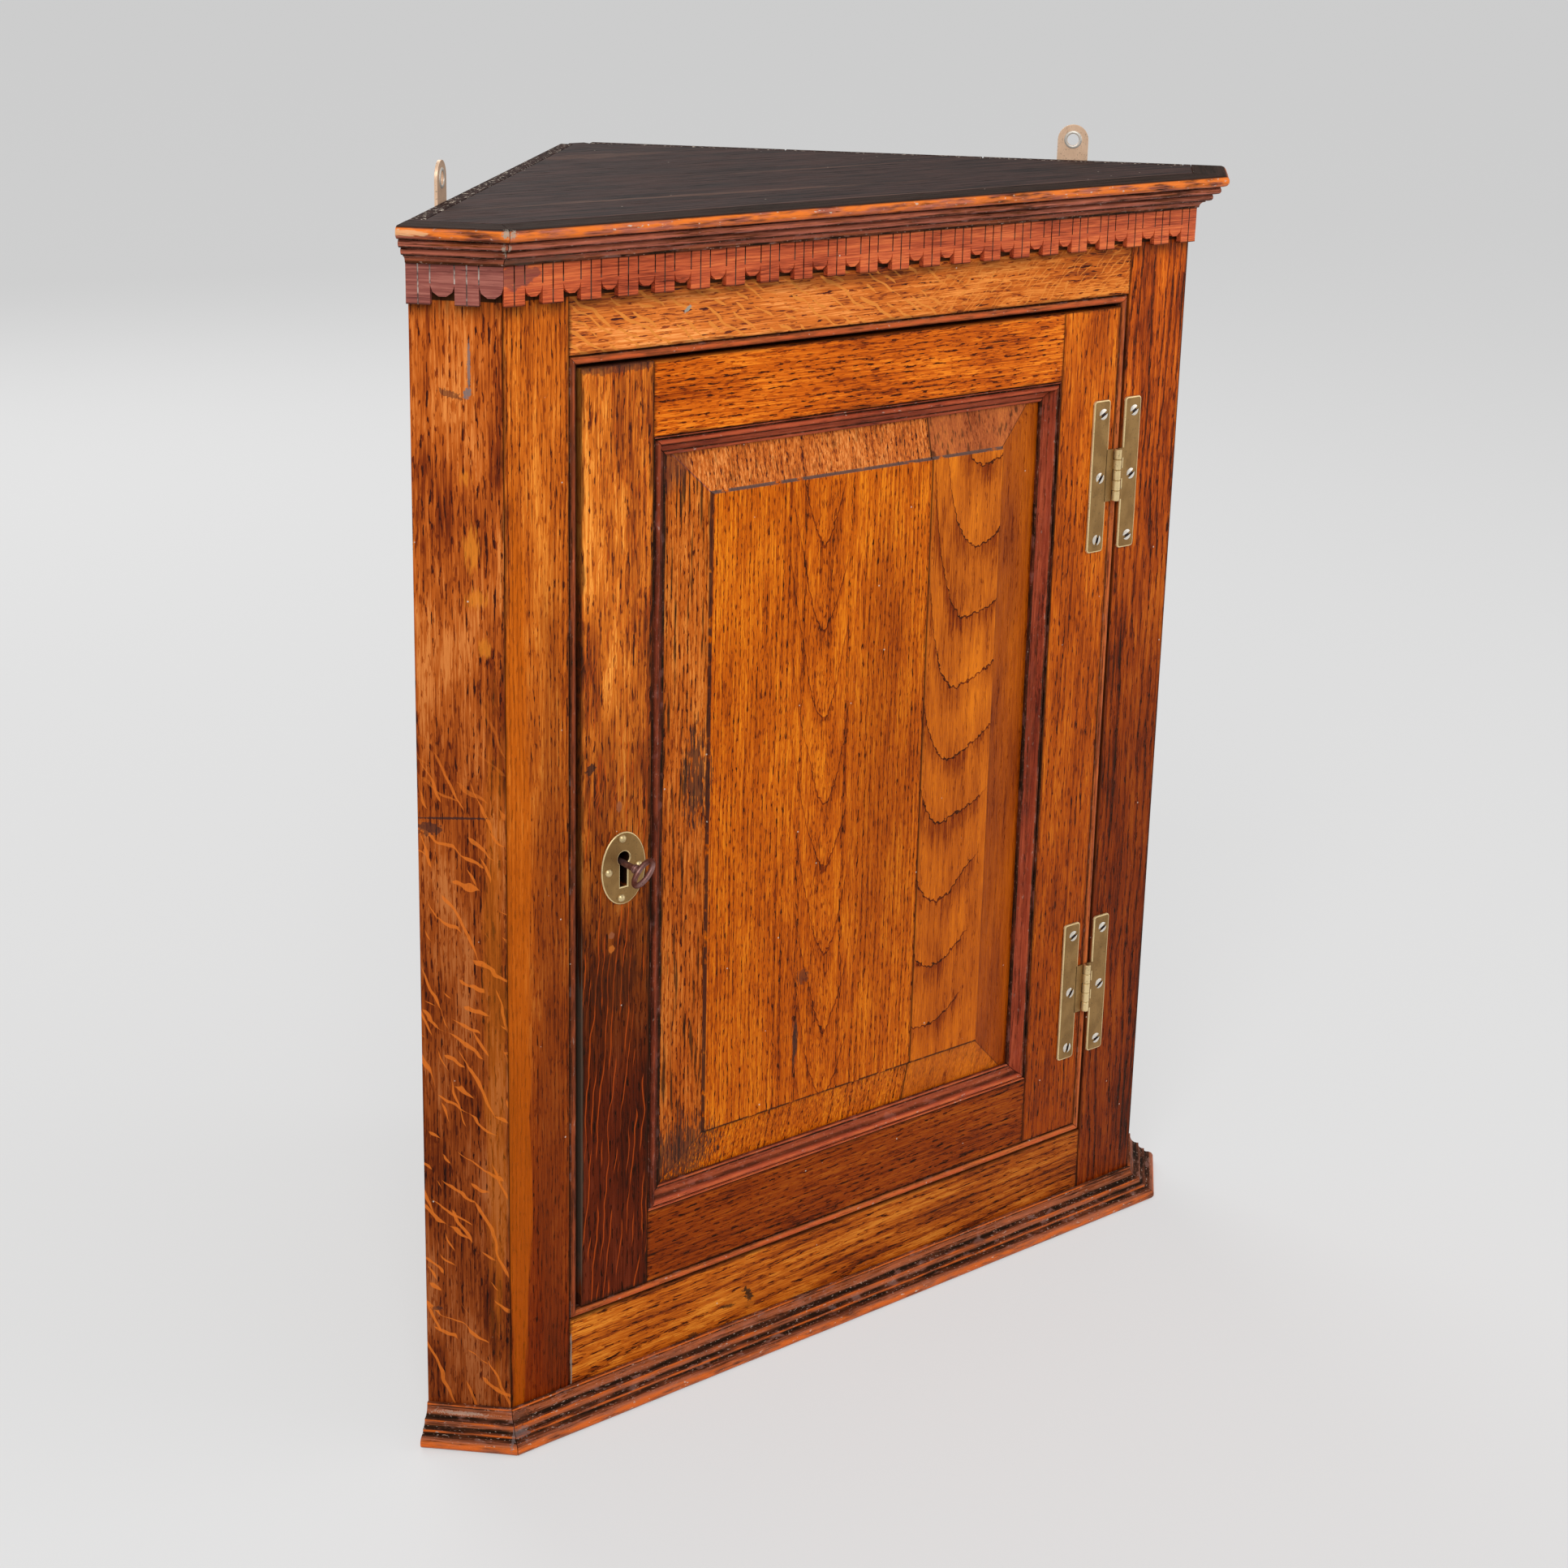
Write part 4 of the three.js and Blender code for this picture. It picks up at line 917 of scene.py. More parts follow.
def make_returns(scene):
    """The canted side returns."""
    dust = scene.cupboard_tones.dust
    curls = {"tilt": -34, "length": 24, "spacing": 14, "width": 0.11, "sway": 22, "strength": 0.8,
             "sparse": 0.51, "stretch": (26, 440, 110)}
    slips = {"tilt": -66, "length": 34, "spacing": 13, "width": 0.1, "sway": 16, "strength": 0.8,
             "sparse": 0.49, "stretch": (60, 470, 110)}
    darkening = srgb(48, 36, 40)
    pale = {"tone": srgb(240, 142, 44), "lump": (1.6, 1.6, 14), "ragged": 2.8, "soft": 0.6}
    marks = (
        mark((42, 758), (3.2, 4.2), 0.9, dust, 2.2),
        mark((43, 776), (1.2, 17), 0.85, dust, 1.6),
        mark((30, 757), (9, 2.4), 0.6, darkening, 2.4, tilt=-18),
        mark((3.5, 668), (1.6, 26), 0.8, darkening, 1.8),
        mark((43, 655), (6, 18), 0.65, **pale),
        mark((46, 622), (9, 8), 0.55, **pale),
        mark((51, 590), (5, 7), 0.55, **pale),
        mark((40, 703), (4.5, 6), 0.55, **pale),
        mark((28, 470), (28, 1), 0.85, darkening, 1.6, tilt=3),
        mark((12, 462), (10, 5), 0.7, darkening, 2.6),
        mark((12, 100), (4.5, 1.8), 0.7, darkening, 2),
        mark((56, 300), (9, 300), 0.26, srgb(214, 116, 20), 1.4, (5, 5, 50), soft=0.5),
    )
    dress_board(scene, "return_left", "return_oak_left", oak_tones(scene, fleck=srgb(226, 118, 40)), 41,
                return_lie("left"), ring=4.4, pith=(-200, 40, 0), flecks=(curls, slips), marks=marks,
                hood=HOOD_LEVEL, cloud=1.7, tints=((189, 94, 35), (132, 60, 24)), turn_over=(800, 180))
    dress_board(scene, "return_right", "return_oak_right", oak_tones(scene), 42, return_lie("right"),
                hood=HOOD_LEVEL, cloud=1.4, tints=((150, 72, 28), (86, 36, 14)))


# Along each profile from the foot up: the dirt stops darken the quirks with dirt and painted shade, the light
# stops paint highlights on the crests over their rubbed wear.
CORNICE_DIRT_AND_SHADE = ((0, 1), (0.05, 1), (0.08, 0.3), (0.18, 0.4), (0.205, 1), (0.255, 1), (0.28, 0.05),
                (0.41, 0.1), (0.43, 1), (0.47, 1), (0.5, 0.05), (0.625, 0.1), (0.645, 1), (0.685, 1),
                (0.71, 0.05), (0.97, 0))
CORNICE_LIGHT = ((0, 0.1), (0.1, 0.3), (0.18, 0), (0.3, 0), (0.35, 0.12), (0.42, 0), (0.51, 0), (0.56, 0.2),
                 (0.64, 0), (0.72, 0.6), (0.8, 1), (0.95, 1), (0.985, 0.4))
BASE_DIRT_AND_SHADE = ((0, 1), (0.03, 0.3), (0.08, 0.05), (0.3, 0.1), (0.335, 0.3), (0.35, 1), (0.385, 1), (0.4, 0.1),
             (0.455, 0.1), (0.466, 1), (0.5, 1), (0.525, 0.2), (0.59, 0.1), (0.65, 0.1), (0.662, 1), (0.7, 1),
             (0.73, 0.2), (0.9, 0.25), (0.915, 1), (0.935, 0.9), (0.945, 0.1), (0.985, 0.1), (1, 1))
BASE_LIGHT = ((0, 0.1), (0.06, 0.7), (0.16, 1), (0.26, 0.8), (0.32, 0), (0.39, 0.3), (0.405, 1), (0.455, 1),
              (0.465, 0), (0.54, 0.2), (0.59, 0.6), (0.605, 1), (0.65, 1), (0.66, 0), (0.74, 0.1),
              (0.82, 0.3), (0.9, 0.1), (0.94, 1), (0.985, 1), (1, 0.3))


def make_cornice(scene):
    """The reeded cornice round three sides."""
    wax = {"tone": srgb(176, 164, 148), "lump": (1.2, 1.2, 1.2), "ragged": 3}
    moulding_marks = {
        "left": (mark((863.5, RETURN_WIDTH + 9), (3, 2.6), 0.85, tilt=30, **wax),
                 mark((852, RETURN_WIDTH + 6), (5, 1.4), 0.75, **wax),
                 # A painted highlight: cream on the lip at the left run's end.
                 mark((862, 4), (2.2, 22), 0.7, srgb(240, 190, 140), 2.4, (1, 1, 8))),
        "front": (mark((863, -9), (2, 3), 0.8, tilt=-30, **wax),
                  mark((853, -8), (4, 1.2), 0.7, **wax),
                  mark((843.5, 10), (3, 48), 0.55, srgb(96, 78, 68), 2.2, (2, 2, 9))),
    }
    dress_runs(scene, "cornice", 51, CORNICE_DIRT_AND_SHADE, CORNICE_LIGHT, moulding_marks, srgb(252, 132, 50),
               srgb(178, 100, 80), 0.5)


def make_base(scene):
    """The base moulding round three sides."""
    tones = scene.cupboard_tones
    moulding_marks = {
        "left": (mark((14, RETURN_WIDTH + 5), (10, 1.6), 0.6, tones.dust, 2.2),
                 mark((19.5, 30), (1.2, 22), 0.35, tones.chip, 3)),
        "front": (mark((19, 4), (3, 12), 0.5, tones.grime_and_shade, 3),
                  mark((12, -2), (3, 9), 0.5, tones.dust, 3)),
    }
    dress_runs(scene, "base_moulding", 57, BASE_DIRT_AND_SHADE, BASE_LIGHT, moulding_marks, srgb(236, 114, 44),
               srgb(160, 90, 62), 0.6)


def dress_runs(scene, name, seed, dirt_and_shade, light, moulding_marks, crest, body, crumbs):
    """The left, front and right runs of a moulding."""
    sizes = scene.cupboard_sizes
    tones = red_tones(scene, bright=tuple(level * RUN_BRIGHTNESS for level in body), mid=body)
    for index, side in enumerate(RUNS):
        node = f"{name}_{side}"
        low, high = box_in_mm(node)
        bands = {"axis": "Z", "from": low.z, "to": high.z, "dirt_and_shade": dirt_and_shade, "light": light, "crest": crest,
                 "dust": 0.55, "crumbs": crumbs}
        wood = timber(f"{name}_wood_{side}", tones, {**run_lie(side), "capped": True}, seed + index, ring=3.4,
                      pith=(90, 30, 0), pores=0.4, dash=(1, 14), fibre=1.4, cloud=1.2, bands=bands,
                      marks=moulding_marks.get(side, ()), level=0.7)
        dress(node, wood, "red_oak", sizes.moulding_edge, SLANT[side], sizes.wear, seed + index)


# The frieze's tongues and saw kerfs, in millimetres
TONGUE_FOOT = 4.5
TONGUE_HEAD = 9.1
TONGUE_LIFT = 0.6
TONGUE_STRETCH = 1.9
KERF_DEPTHS = (0.2, 1.6)
KERF_UPRIGHT = 0.5
KERF_FLOOR = -0.9
KERF_LIFTS = {"left": 1.15, "front": 0.8, "right": 0.8}
# Beyond both ends of a strip, so that only its long edges gather dirt
FRIEZE_REACH = (-40, 700)


def round_tongues(form, foot):
    """Draws the tongues' bows out into half rounds between deeper notches."""
    for vert in form.verts:
        height = vert.co.z / MM - foot - TONGUE_FOOT
        if -0.1 < height < TONGUE_HEAD - TONGUE_FOOT:
            vert.co.z = (foot + TONGUE_FOOT + TONGUE_LIFT + height * TONGUE_STRETCH) * MM


def kerf_faces(form, side):
    """Gives the saw kerfs up the strip's face the piece's second material and fills them with dust."""
    turn = Matrix.Rotation(run_lie(side)["turn"], 3, "Z")
    front = min((turn @ vert.co).y for vert in form.verts)
    low, high = KERF_DEPTHS
    floors = set()
    for face in form.faces:
        depth = ((turn @ face.calc_center_median()).y - front) / MM
        face.material_index = 1 if low < depth < high and abs(face.normal.z) < KERF_UPRIGHT else 0
        if face.material_index and (turn @ face.normal).y < KERF_FLOOR:
            floors.update(face.verts)
    for vert in floors:
        vert.co += turn.inverted() @ TO_ROOM * KERF_LIFTS[side] * MM


def kerf_finish(name, tone, dark, seed):
    """What fills the saw kerfs: dirt with dust on it."""
    finish = Finish(name)
    cloud = finish.grain(finish.millimetres(), (3, 3, 6), seed, 3)
    return finish.shade(finish.mix(cloud.step(0.42, 0.6), tone, dark), cloud * 0.2 + 0.7, cloud, depth=0.2)


def make_frieze(scene):
    """The fretted frieze strips below the cornice."""
    front = red_tones(scene, bright=srgb(242, 126, 72), mid=srgb(207, 94, 58), deep=srgb(142, 58, 40))
    side_tones = red_tones(scene, bright=srgb(178, 110, 98), mid=srgb(152, 86, 78), deep=srgb(106, 58, 56))
    darkening = mark((834, 8), (9, 18), 0.6, srgb(104, 64, 72), 2.2, (4, 4, 8))
    dusty, sooty = (srgb(196, 180, 170), srgb(104, 80, 74)), (srgb(104, 84, 72), srgb(44, 28, 24))
    for index, side in enumerate(RUNS):
        node = f"frieze_{side}"
        low, high = box_in_mm(node)
        wood = timber(f"frieze_wood_{side}", front if side == "front" else side_tones,
                      {**run_lie(side), "limits": (low.z, high.z, *FRIEZE_REACH)}, 61 + index, ring=7,
                      pith=(900, 30, 0), pores=0.15, dash=(0.8, 16), stripe=0.06, fibre=1.3, edge=0.4,
                      edge_width=1.6, marks=(darkening,) if side == "front" else ())
        form = merged_form(node)
        round_tongues(form, low.z)
        kerf_faces(form, side)
        kerf = kerf_finish(f"kerf_dust_{side}", *(dusty if side == "left" else sooty), 65 + index)
        settle(piece_of(form, f"{node}_dressed"), [wood, kerf], "red_oak", "carcase", node)


def make_door_frame(scene):
    """The door's stiles and rails."""
    oak = oak_tones(scene)
    left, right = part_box("door_stile_lock")[1].x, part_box("door_stile_hinge")[0].x
    filler = srgb(156, 92, 62)
    marks = (
        # Painted shade: black inside the keyhole, where the wood behind shows through.
        mark((KEY_X / MM, KEY_Z / MM - 4), (9, 17), 0.97, srgb(14, 9, 7), 0),
        mark((-219, 461.5), (2.6, 4.2), 0.8, filler, 0.8),
        mark((-225, 367.6), (2.8, 2.8), 0.8, filler, 0.8),
        mark((-225, 357.4), (2.6, 3.4), 0.8, srgb(206, 112, 40), 0.8),
        mark((-221, 768), (36, 5), 0.6, srgb(70, 42, 40), 1.6),
        mark((-243, 493), (5, 4), 0.85, srgb(44, 30, 32), 1.6, tilt=24),
        mark((-250, 230), (1.3, 150), 0.8, srgb(80, 68, 58), 0.8, (2, 2, 40)),
        mark((-222, 330), (22, 24), 0.45, srgb(54, 20, 12), 2.4, (5, 5, 14)),
    )
    wisps = {"tilt": 85, "length": 46, "spacing": 5.6, "width": 0.1, "sway": 15, "strength": 0.6,
             "sparse": 0.46, "stretch": (92, 480, 70)}
    glints = {"tilt": 80, "length": 14, "spacing": 3.2, "width": 0.14, "sway": 9, "strength": 0.5,
              "sparse": 0.48, "stretch": (480, 760, 60)}
    dress_board(scene, "door_stile_lock", "lock_stile_oak", oak_tones(scene, fleck=srgb(206, 84, 20)), 71,
                ring=4.8, pith=(-420, 30, 0), flecks=(wisps, glints), marks=marks, cloud=1.4,
                tints=((214, 116, 38), (84, 23, 6)), turn_over=(640, 230), edge=0.7, edge_width=3.5,
                level=0.6)
    dress_board(scene, "door_stile_hinge", "hinge_stile_oak", oak, 72, ring=5.2, pith=(380, 40, 0),
                tints=((201, 94, 14), (147, 58, 3)))
    for seed, side, pith, tint in ((73, "top", 900, (206, 96, 16)), (74, "bottom", 60, (137, 54, 5))):
        node = f"door_rail_{side}"
        dress_board(scene, node, f"door_rail_oak_{side}", oak, seed, rail_lie(node, left, right), ring=3.8,
                    pith=(pith, 40, 0.02), dash=(1.3, 7), tints=(tint, tint), cut=(0.54, 0.59))


def make_door_panel(scene):
    """The fielded panel's two boards."""
    grime_and_shade = scene.cupboard_tones.grime_and_shade
    field = {
        # Each bevel's tint paints light and shade: the top and left paler, the right darker.
        "bevels": {"left": ((177, 89, 42), 0.85), "top": ((185, 97, 58), 0.4), "bottom": ((190, 94, 16), 0.3),
                   "right": ((153, 65, 4), 0.15)},
        "quirks": {"top": (srgb(96, 82, 80), 1.15), "left": (srgb(70, 40, 36), 1.1), "right": (grime_and_shade, 0.8),
                   "bottom": (grime_and_shade, 1.9)},
    }
    tongues = {"centre": -38, "level": 480, "lean": -0.03, "left": (0.5, 1.6), "right": (0.4, 1.6),
               "ragged": 12, "sweep": 50, "pitch": 62, "width": 2.2, "strength": 0.3, "under": 0.12,
               "reach": 26}
    darkening = srgb(50, 38, 38)
    weathered = (
        mark((-150, 466), (9, 36), 0.75, darkening, 4, (1.1, 1.1, 9)),
        mark((-158, 176), (30, 26), 0.7, darkening, 4.2, (1.2, 1.2, 9)),
        mark((-58, 241), (2.6, 20), 0.85, darkening, 2.6, (0.9, 0.9, 9)),
        mark((-52, 292), (6, 6), 0.6, darkening, 3.4, (1, 1, 5)),
        mark((22, 430), (52, 260), 0.24, srgb(120, 44, 4), 0.8, (20, 20, 90), soft=0.8),
        mark((-174, 694), (22, 24), 0.6, srgb(84, 46, 44), 1.4, (8, 8, 16), soft=0.7),
        mark((-189, 460), (6, 270), 0.6, srgb(84, 38, 26), 1.2, (4, 4, 30), soft=0.6),
    )
    wide = timber("panel_oak_wide", oak_tones(scene), face_lie("panel_board_wide"), 81, ring=3,
                  pith=(-38, 60, 0), wander=4, dash=(1.1, 7), cut=(0.54, 0.6), field=field, figure=tongues,
                  streak=0.4, cloud=0.6, pores=0.75, stripe=0.26, level=0.72, marks=weathered,
                  tints=((201, 96, 10), (182, 82, 7)), edge=0.25)
    cathedral = {"centre": 96, "level": 520, "lean": 0.1, "left": (0.021, 2.2), "right": (0.09, 1.5),
                 "ragged": 11, "sweep": 34, "pitch": 55, "width": 1.2, "strength": 0.42, "under": 0.2,
                 "reach": 44}
    narrow_field = {**field, "bevels": {**field["bevels"], "top": ((160, 76, 36), 0.7)}}
    narrow = timber("panel_oak_narrow", oak_tones(scene, mid=srgb(200, 104, 28)),
                    face_lie("panel_board_narrow"), 82, ring=8, pith=(400, 68, 0), stripe=0.05, pores=0.22,
                    dash=(1, 6), fibre=0.9, streak=0.4, cloud=1.1, level=0.7, field=narrow_field,
                    figure=cathedral, tints=((195, 90, 11), (170, 70, 5)), edge=0.25)
    for width, oak in (("wide", wide), ("narrow", narrow)):
        dress(f"panel_board_{width}", oak, "oak", scene.cupboard_sizes.moulding_edge)


# Painted light and shade: each strip set lighter or darker by which way it faces, the left darkest; the dirt
# stops darken its quirks with dirt and painted shade.
STRIP_LEVELS = {"top": 0.76, "bottom": 1, "left": 0.58, "right": 0.76}
STRIP_DIRT_AND_SHADE = {
    "top": ((0, 1), (0.04, 0.3), (0.08, 0.2), (0.1, 1), (0.16, 1), (0.19, 0.05), (0.38, 0.05), (0.41, 1),
            (0.52, 1), (0.55, 0.1), (0.77, 0.15), (0.8, 1), (0.84, 0.9), (0.87, 0.1), (0.96, 0.1), (1, 0.9)),
    "left": ((0, 1), (0.12, 1), (0.2, 0.45), (0.36, 0.5), (0.42, 1), (0.55, 0.9), (0.62, 0.5), (0.8, 0.6),
             (0.88, 1), (1, 1)),
    "right": ((0, 1), (0.1, 1), (0.13, 0.1), (0.22, 0.1), (0.25, 1), (0.32, 1), (0.37, 0.1), (0.84, 0.1),
              (0.87, 1), (1, 1)),
    "bottom": ((0, 0.1), (0.07, 0.1), (0.09, 1), (0.17, 1), (0.19, 0.05), (0.4, 0.05), (0.44, 0.8),
               (0.5, 0.8), (0.56, 0.4), (0.76, 0.4), (0.8, 1), (0.86, 1), (0.89, 0.1), (0.96, 0.2), (1, 1)),
}
STRIP_LIGHT = ((0, 0), (0.05, 0.8), (0.1, 0), (0.22, 0.3), (0.32, 0.7), (0.41, 0.1), (0.6, 0.25), (0.76, 0.1),
               (0.86, 0), (0.91, 0.8), (0.97, 0.2))


def make_panel_mouldings(scene):
    """The mitred mouldings round the panel."""
    wine = red_tones(scene, bright=srgb(190, 88, 58), mid=srgb(150, 62, 42), deep=srgb(92, 36, 30))
    for index, side in enumerate(SIDES):
        # The bottom strip's crest is brighter: a painted highlight where it faces up to the light.
        crest = srgb(238, 122, 66) if side == "bottom" else srgb(204, 96, 58)
        dress_strip(scene, f"panel_moulding_{side}", side, f"panel_moulding_wood_{side}", wine, 85 + index,
                    STRIP_DIRT_AND_SHADE[side], STRIP_LIGHT, crest, 0.35, wear=0.8, rub_seed=5 + index, pores=0.3,
                    level=STRIP_LEVELS[side])


RING_STEPS = 32

# The hinge's barrel in millimetres, and which of its knuckles each leaf holds
KNUCKLE_PITCH = 8.2
KNUCKLE_GAP = 0.3
KNUCKLE_PLACES = {"frame": (-2, 0, 2), "door": (-1, 1)}
KNUCKLE_COUNT = 5
KNUCKLE_RIM = 0.45
BARREL_RADIUS = 3.1
BORE_PLAY = 0.1
LEAF_CORNER = 3 * MM
LEAF_RIM = 1.2 * MM


def solid_block(low, high):
    """A closed block between two corners."""
    form = bmesh.new()
    place = Matrix.Translation((low + high) / 2) @ Matrix.Diagonal((*(high - low), 1))
    bmesh.ops.create_cube(form, size=1, matrix=place)
    return form


def hinge_leaf(part, low, high):
    """A leaf: its plate with eased corners and a bevelled rim, its tabs and its knuckles."""
    pin_low, pin_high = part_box("hinge_pin_lower")
    axis_x, axis_y = (pin_low.x + pin_high.x) / 2, (pin_low.y + pin_high.y) / 2
    middle = (low.z + high.z) / 2
    far, side = (low.x, 1) if part == "door" else (high.x, -1)
    near = far + side * LEAF_WIDTH
    front = FACE_Y - LEAF_THICKNESS
    leaf = solid_block(Vector((min(far, near), front, low.z)), Vector((max(far, near), FACE_Y, high.z)))
    corners = [edge for edge in leaf.edges
               if abs(edge.verts[0].co.y - edge.verts[1].co.y) > LEAF_THICKNESS / 2]
    ease(leaf, corners, LEAF_CORNER, 4)
    outline = [edge for edge in leaf.edges if all(vert.co.y < front + MERGE for vert in edge.verts)]
    ease(leaf, outline, LEAF_RIM, 2, clamp=False)
    rim_faces(leaf)
    bore = (pin_high.x - pin_low.x) / 2 / MM + BORE_PLAY
    length, shoulder = KNUCKLE_PITCH - KNUCKLE_GAP, BARREL_RADIUS - KNUCKLE_RIM
    profile = ((bore, 0), (shoulder, 0), (BARREL_RADIUS, KNUCKLE_RIM), (BARREL_RADIUS, length - KNUCKLE_RIM),
               (shoulder, length), (bore, length))
    rooted = near - side * LEAF_THICKNESS
    if part == "door":
        reach = axis_x - (BARREL_RADIUS + KNUCKLE_GAP) * MM
        half = KNUCKLE_PITCH * KNUCKLE_COUNT / 2 * MM
        tab_low, tab_high = Vector((rooted, front, middle - half)), Vector((reach, FACE_Y, middle + half))
        join_into(leaf, solid_block(tab_low, tab_high))
    for place in KNUCKLE_PLACES[part]:
        foot = middle + ((place - 0.5) * KNUCKLE_PITCH + KNUCKLE_GAP / 2) * MM
        tab_low = Vector((min(rooted, axis_x), front + MERGE, foot))
        tab_high = Vector((max(rooted, axis_x), FACE_Y, foot + length * MM))
        join_into(leaf, solid_block(tab_low, tab_high))
        knuckle = bmesh.new()
        turned(knuckle, profile, Vector((axis_x, axis_y, foot)), UP, RING_STEPS, ring=True)
        for face in knuckle.faces:
            face.material_index = 1
        join_into(leaf, knuckle)
    return leaf


# A hinge's screws up and down from its middle, and past the middle of its leaf
HINGE_SCREWS = (49 * MM, -1 * MM, -50 * MM)
HINGE_SCREW_SHIFT = 1.2 * MM
SLOT_TURNS = {"door": (28, 55, 74), "frame": (30, 36, 24)}
SLOT_TONE = srgb(60, 44, 38)


def make_hinges(scene):
    """The H hinges: leaves, pins and slotted screws."""
    sizes = scene.cupboard_sizes
    tones = scene.cupboard_tones
    brass = brass_finish("hinge_brass", tones.brass, 91)
    # The rim finish paints a highlight on the leaves' bevels and the knuckles, over their rubbed wear.
    rim = brass_finish("hinge_rim", tones.brass_rim, 94, tarnish=0.35)
    bright = brass_finish("screw_metal", tones.steel, 92, tarnish=0.3)
    dark = iron_finish("screw_slot", SLOT_TONE, 93)
    for part in ("door", "frame"):
        screws = bmesh.new()
        for level in ("lower", "upper"):
            node = f"hinge_{part}_leaf_{level}"
            low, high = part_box(node)
            leaf = piece_of(hinge_leaf(part, low, high), f"{node}_dressed")
            settle(leaf, [brass, rim], "brass", frame["nodes"][node]["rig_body"], node)
            middle = (low.z + high.z) / 2
            centre_x = low.x + LEAF_WIDTH / 2 if part == "door" else high.x - LEAF_WIDTH / 2
            for rise, turn in zip(HINGE_SCREWS, SLOT_TURNS[part]):
                place = Vector((centre_x + HINGE_SCREW_SHIFT, FACE_Y - LEAF_THICKNESS, middle + rise))
                slotted_screw(screws, place, TO_ROOM, sizes.screw_radius, math.radians(turn))
        heads = piece_of(screws, f"hinge_screws_{part}")
        settle(heads, [bright, dark], "brass", "door" if part == "door" else "carcase")
    for level in ("lower", "upper"):
        dress(f"hinge_pin_{level}", brass, "brass", sizes.moulding_edge)


SLOT_WIDTH = 2.5 * MM
SLOT_DEPTH = 0.65 * MM
SCREW_STEPS = 28
FACING = 0.3


def slotted_screw(form, place, axis, radius, turn):
    """A low domed screw head with a saw-cut slot."""
    head = bmesh.new()
    share = radius / MM
    profile = ((0, 0.75), (share * 0.45, 0.68), (share * 0.8, 0.45), (share * 0.96, 0.18), (share, -0.3),
               (0, -0.3))
    turned(head, profile, place, axis, SCREW_STEPS)
    across = Matrix.Rotation(turn, 3, axis) @ axis.cross(UP).normalized()
    normal = axis.cross(across)
    half = SLOT_WIDTH / 2
    for side in (half, -half):
        cut(head, place + normal * side, normal)
    head.normal_update()
    slot = [face for face in head.faces
            if abs((face.calc_center_median() - place).dot(normal)) < half and face.normal.dot(axis) > FACING]
    sunk = bmesh.ops.extrude_face_region(head, geom=slot)
    verts = [item for item in sunk["geom"] if isinstance(item, bmesh.types.BMVert)]
    bmesh.ops.delete(head, geom=slot, context="FACES_ONLY")
    bmesh.ops.translate(head, verts=verts, vec=-axis * SLOT_DEPTH)
    head.normal_update()
    for face in head.faces:
        in_slot = abs((face.calc_center_median() - place).dot(normal)) < half + MERGE
        face.material_index = 1 if in_slot and face.normal.dot(axis) > -FACING else 0
    join_into(form, head)


def join_into(form, part):
    """Adds one form to another."""
    mesh = bpy.data.meshes.new("part")
    part.to_mesh(mesh)
    part.free()
    form.from_mesh(mesh)
    bpy.data.meshes.remove(mesh)


# The escutcheon's pins right of and above its middle, in millimetres
ESCUTCHEON_PINS = ((-1.4, 22.1), (-12.8, -0.8), (12.5, 0), (-2.1, -21.7))
PIN_STEPS = 20


def make_escutcheon(scene):
    """The oval escutcheon and its four round-headed pins."""
    sizes = scene.cupboard_sizes
    tones = scene.cupboard_tones
    form = merged_form("escutcheon")
    ease(form, convex_edges(form), sizes.metal_edge)
    rim_faces(form, "y")
    brass = brass_finish("escutcheon_brass", tones.brass, 95, tarnish=0.4)
    # The rim finish paints a highlight on the escutcheon's bevelled edges, over their rubbed wear.
    rim = brass_finish("escutcheon_rim", tones.brass_rim, 90, tarnish=0.35)
    settle(piece_of(form, "escutcheon_dressed"), [brass, rim], "brass", "door", "escutcheon")
    low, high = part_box("escutcheon")
    centre = (low + high) / 2
    pins = bmesh.new()
    share = sizes.pin_radius / MM
    profile = ((0, 2.4), (share * 0.4, 2.15), (share * 0.75, 1.5), (share * 0.95, 0.7), (share, 0),
               (share, -0.4), (0, -0.4))
    for right, up in ESCUTCHEON_PINS:
        place = Vector((centre.x + right * MM, FACE_Y - PLATE_THICKNESS, centre.z + up * MM))
        turned(pins, profile, place, TO_ROOM, PIN_STEPS)
    metal = brass_finish("pin_brass", Vector(tones.brass_rim) * 0.8, 96, tarnish=0.3)
    settle(piece_of(pins, "escutcheon_pins"), [metal], "brass", "door")


def make_lock(scene):
    """The lock case and its bolt."""
    iron = iron_finish("lock_iron", scene.cupboard_tones.iron, 97)
    for part in ("case", "bolt"):
        dress(f"lock_{part}", iron, "iron", scene.cupboard_sizes.metal_edge)


# The key: its turned shaft, its oval bow and its bit, in millimetres from the door's face
KEY_PROFILE = ((0, 20), (1.7, 20), (2.3, 19.2), (2.5, 18), (3.3, 17.4), (3.5, 16.8), (3.2, 16.1), (2.7, 15.8),
               (3.1, 15.4), (3.3, 14.8), (3, 14.3), (2.4, 13.9), (2.3, 2), (2.4, -30), (2.1, -31.9),
               (1.6, -32.2), (0, -32.2))
BOW_REACH = 25 * MM
BOW_HALF_LONG = 10 * MM
BOW_HALF_SHORT = 5.5 * MM
BOW_SECTION = 2 * MM
BOW_SEGMENTS = 14
BOW_STEPS = 40
KEY_STEPS = 24
BIT_SIZE = Vector((2.2, 6, 8.4)) * MM
BIT_PLACE = Vector((0, 25.8, -5.2)) * MM
BIT_EDGE = 0.25 * MM


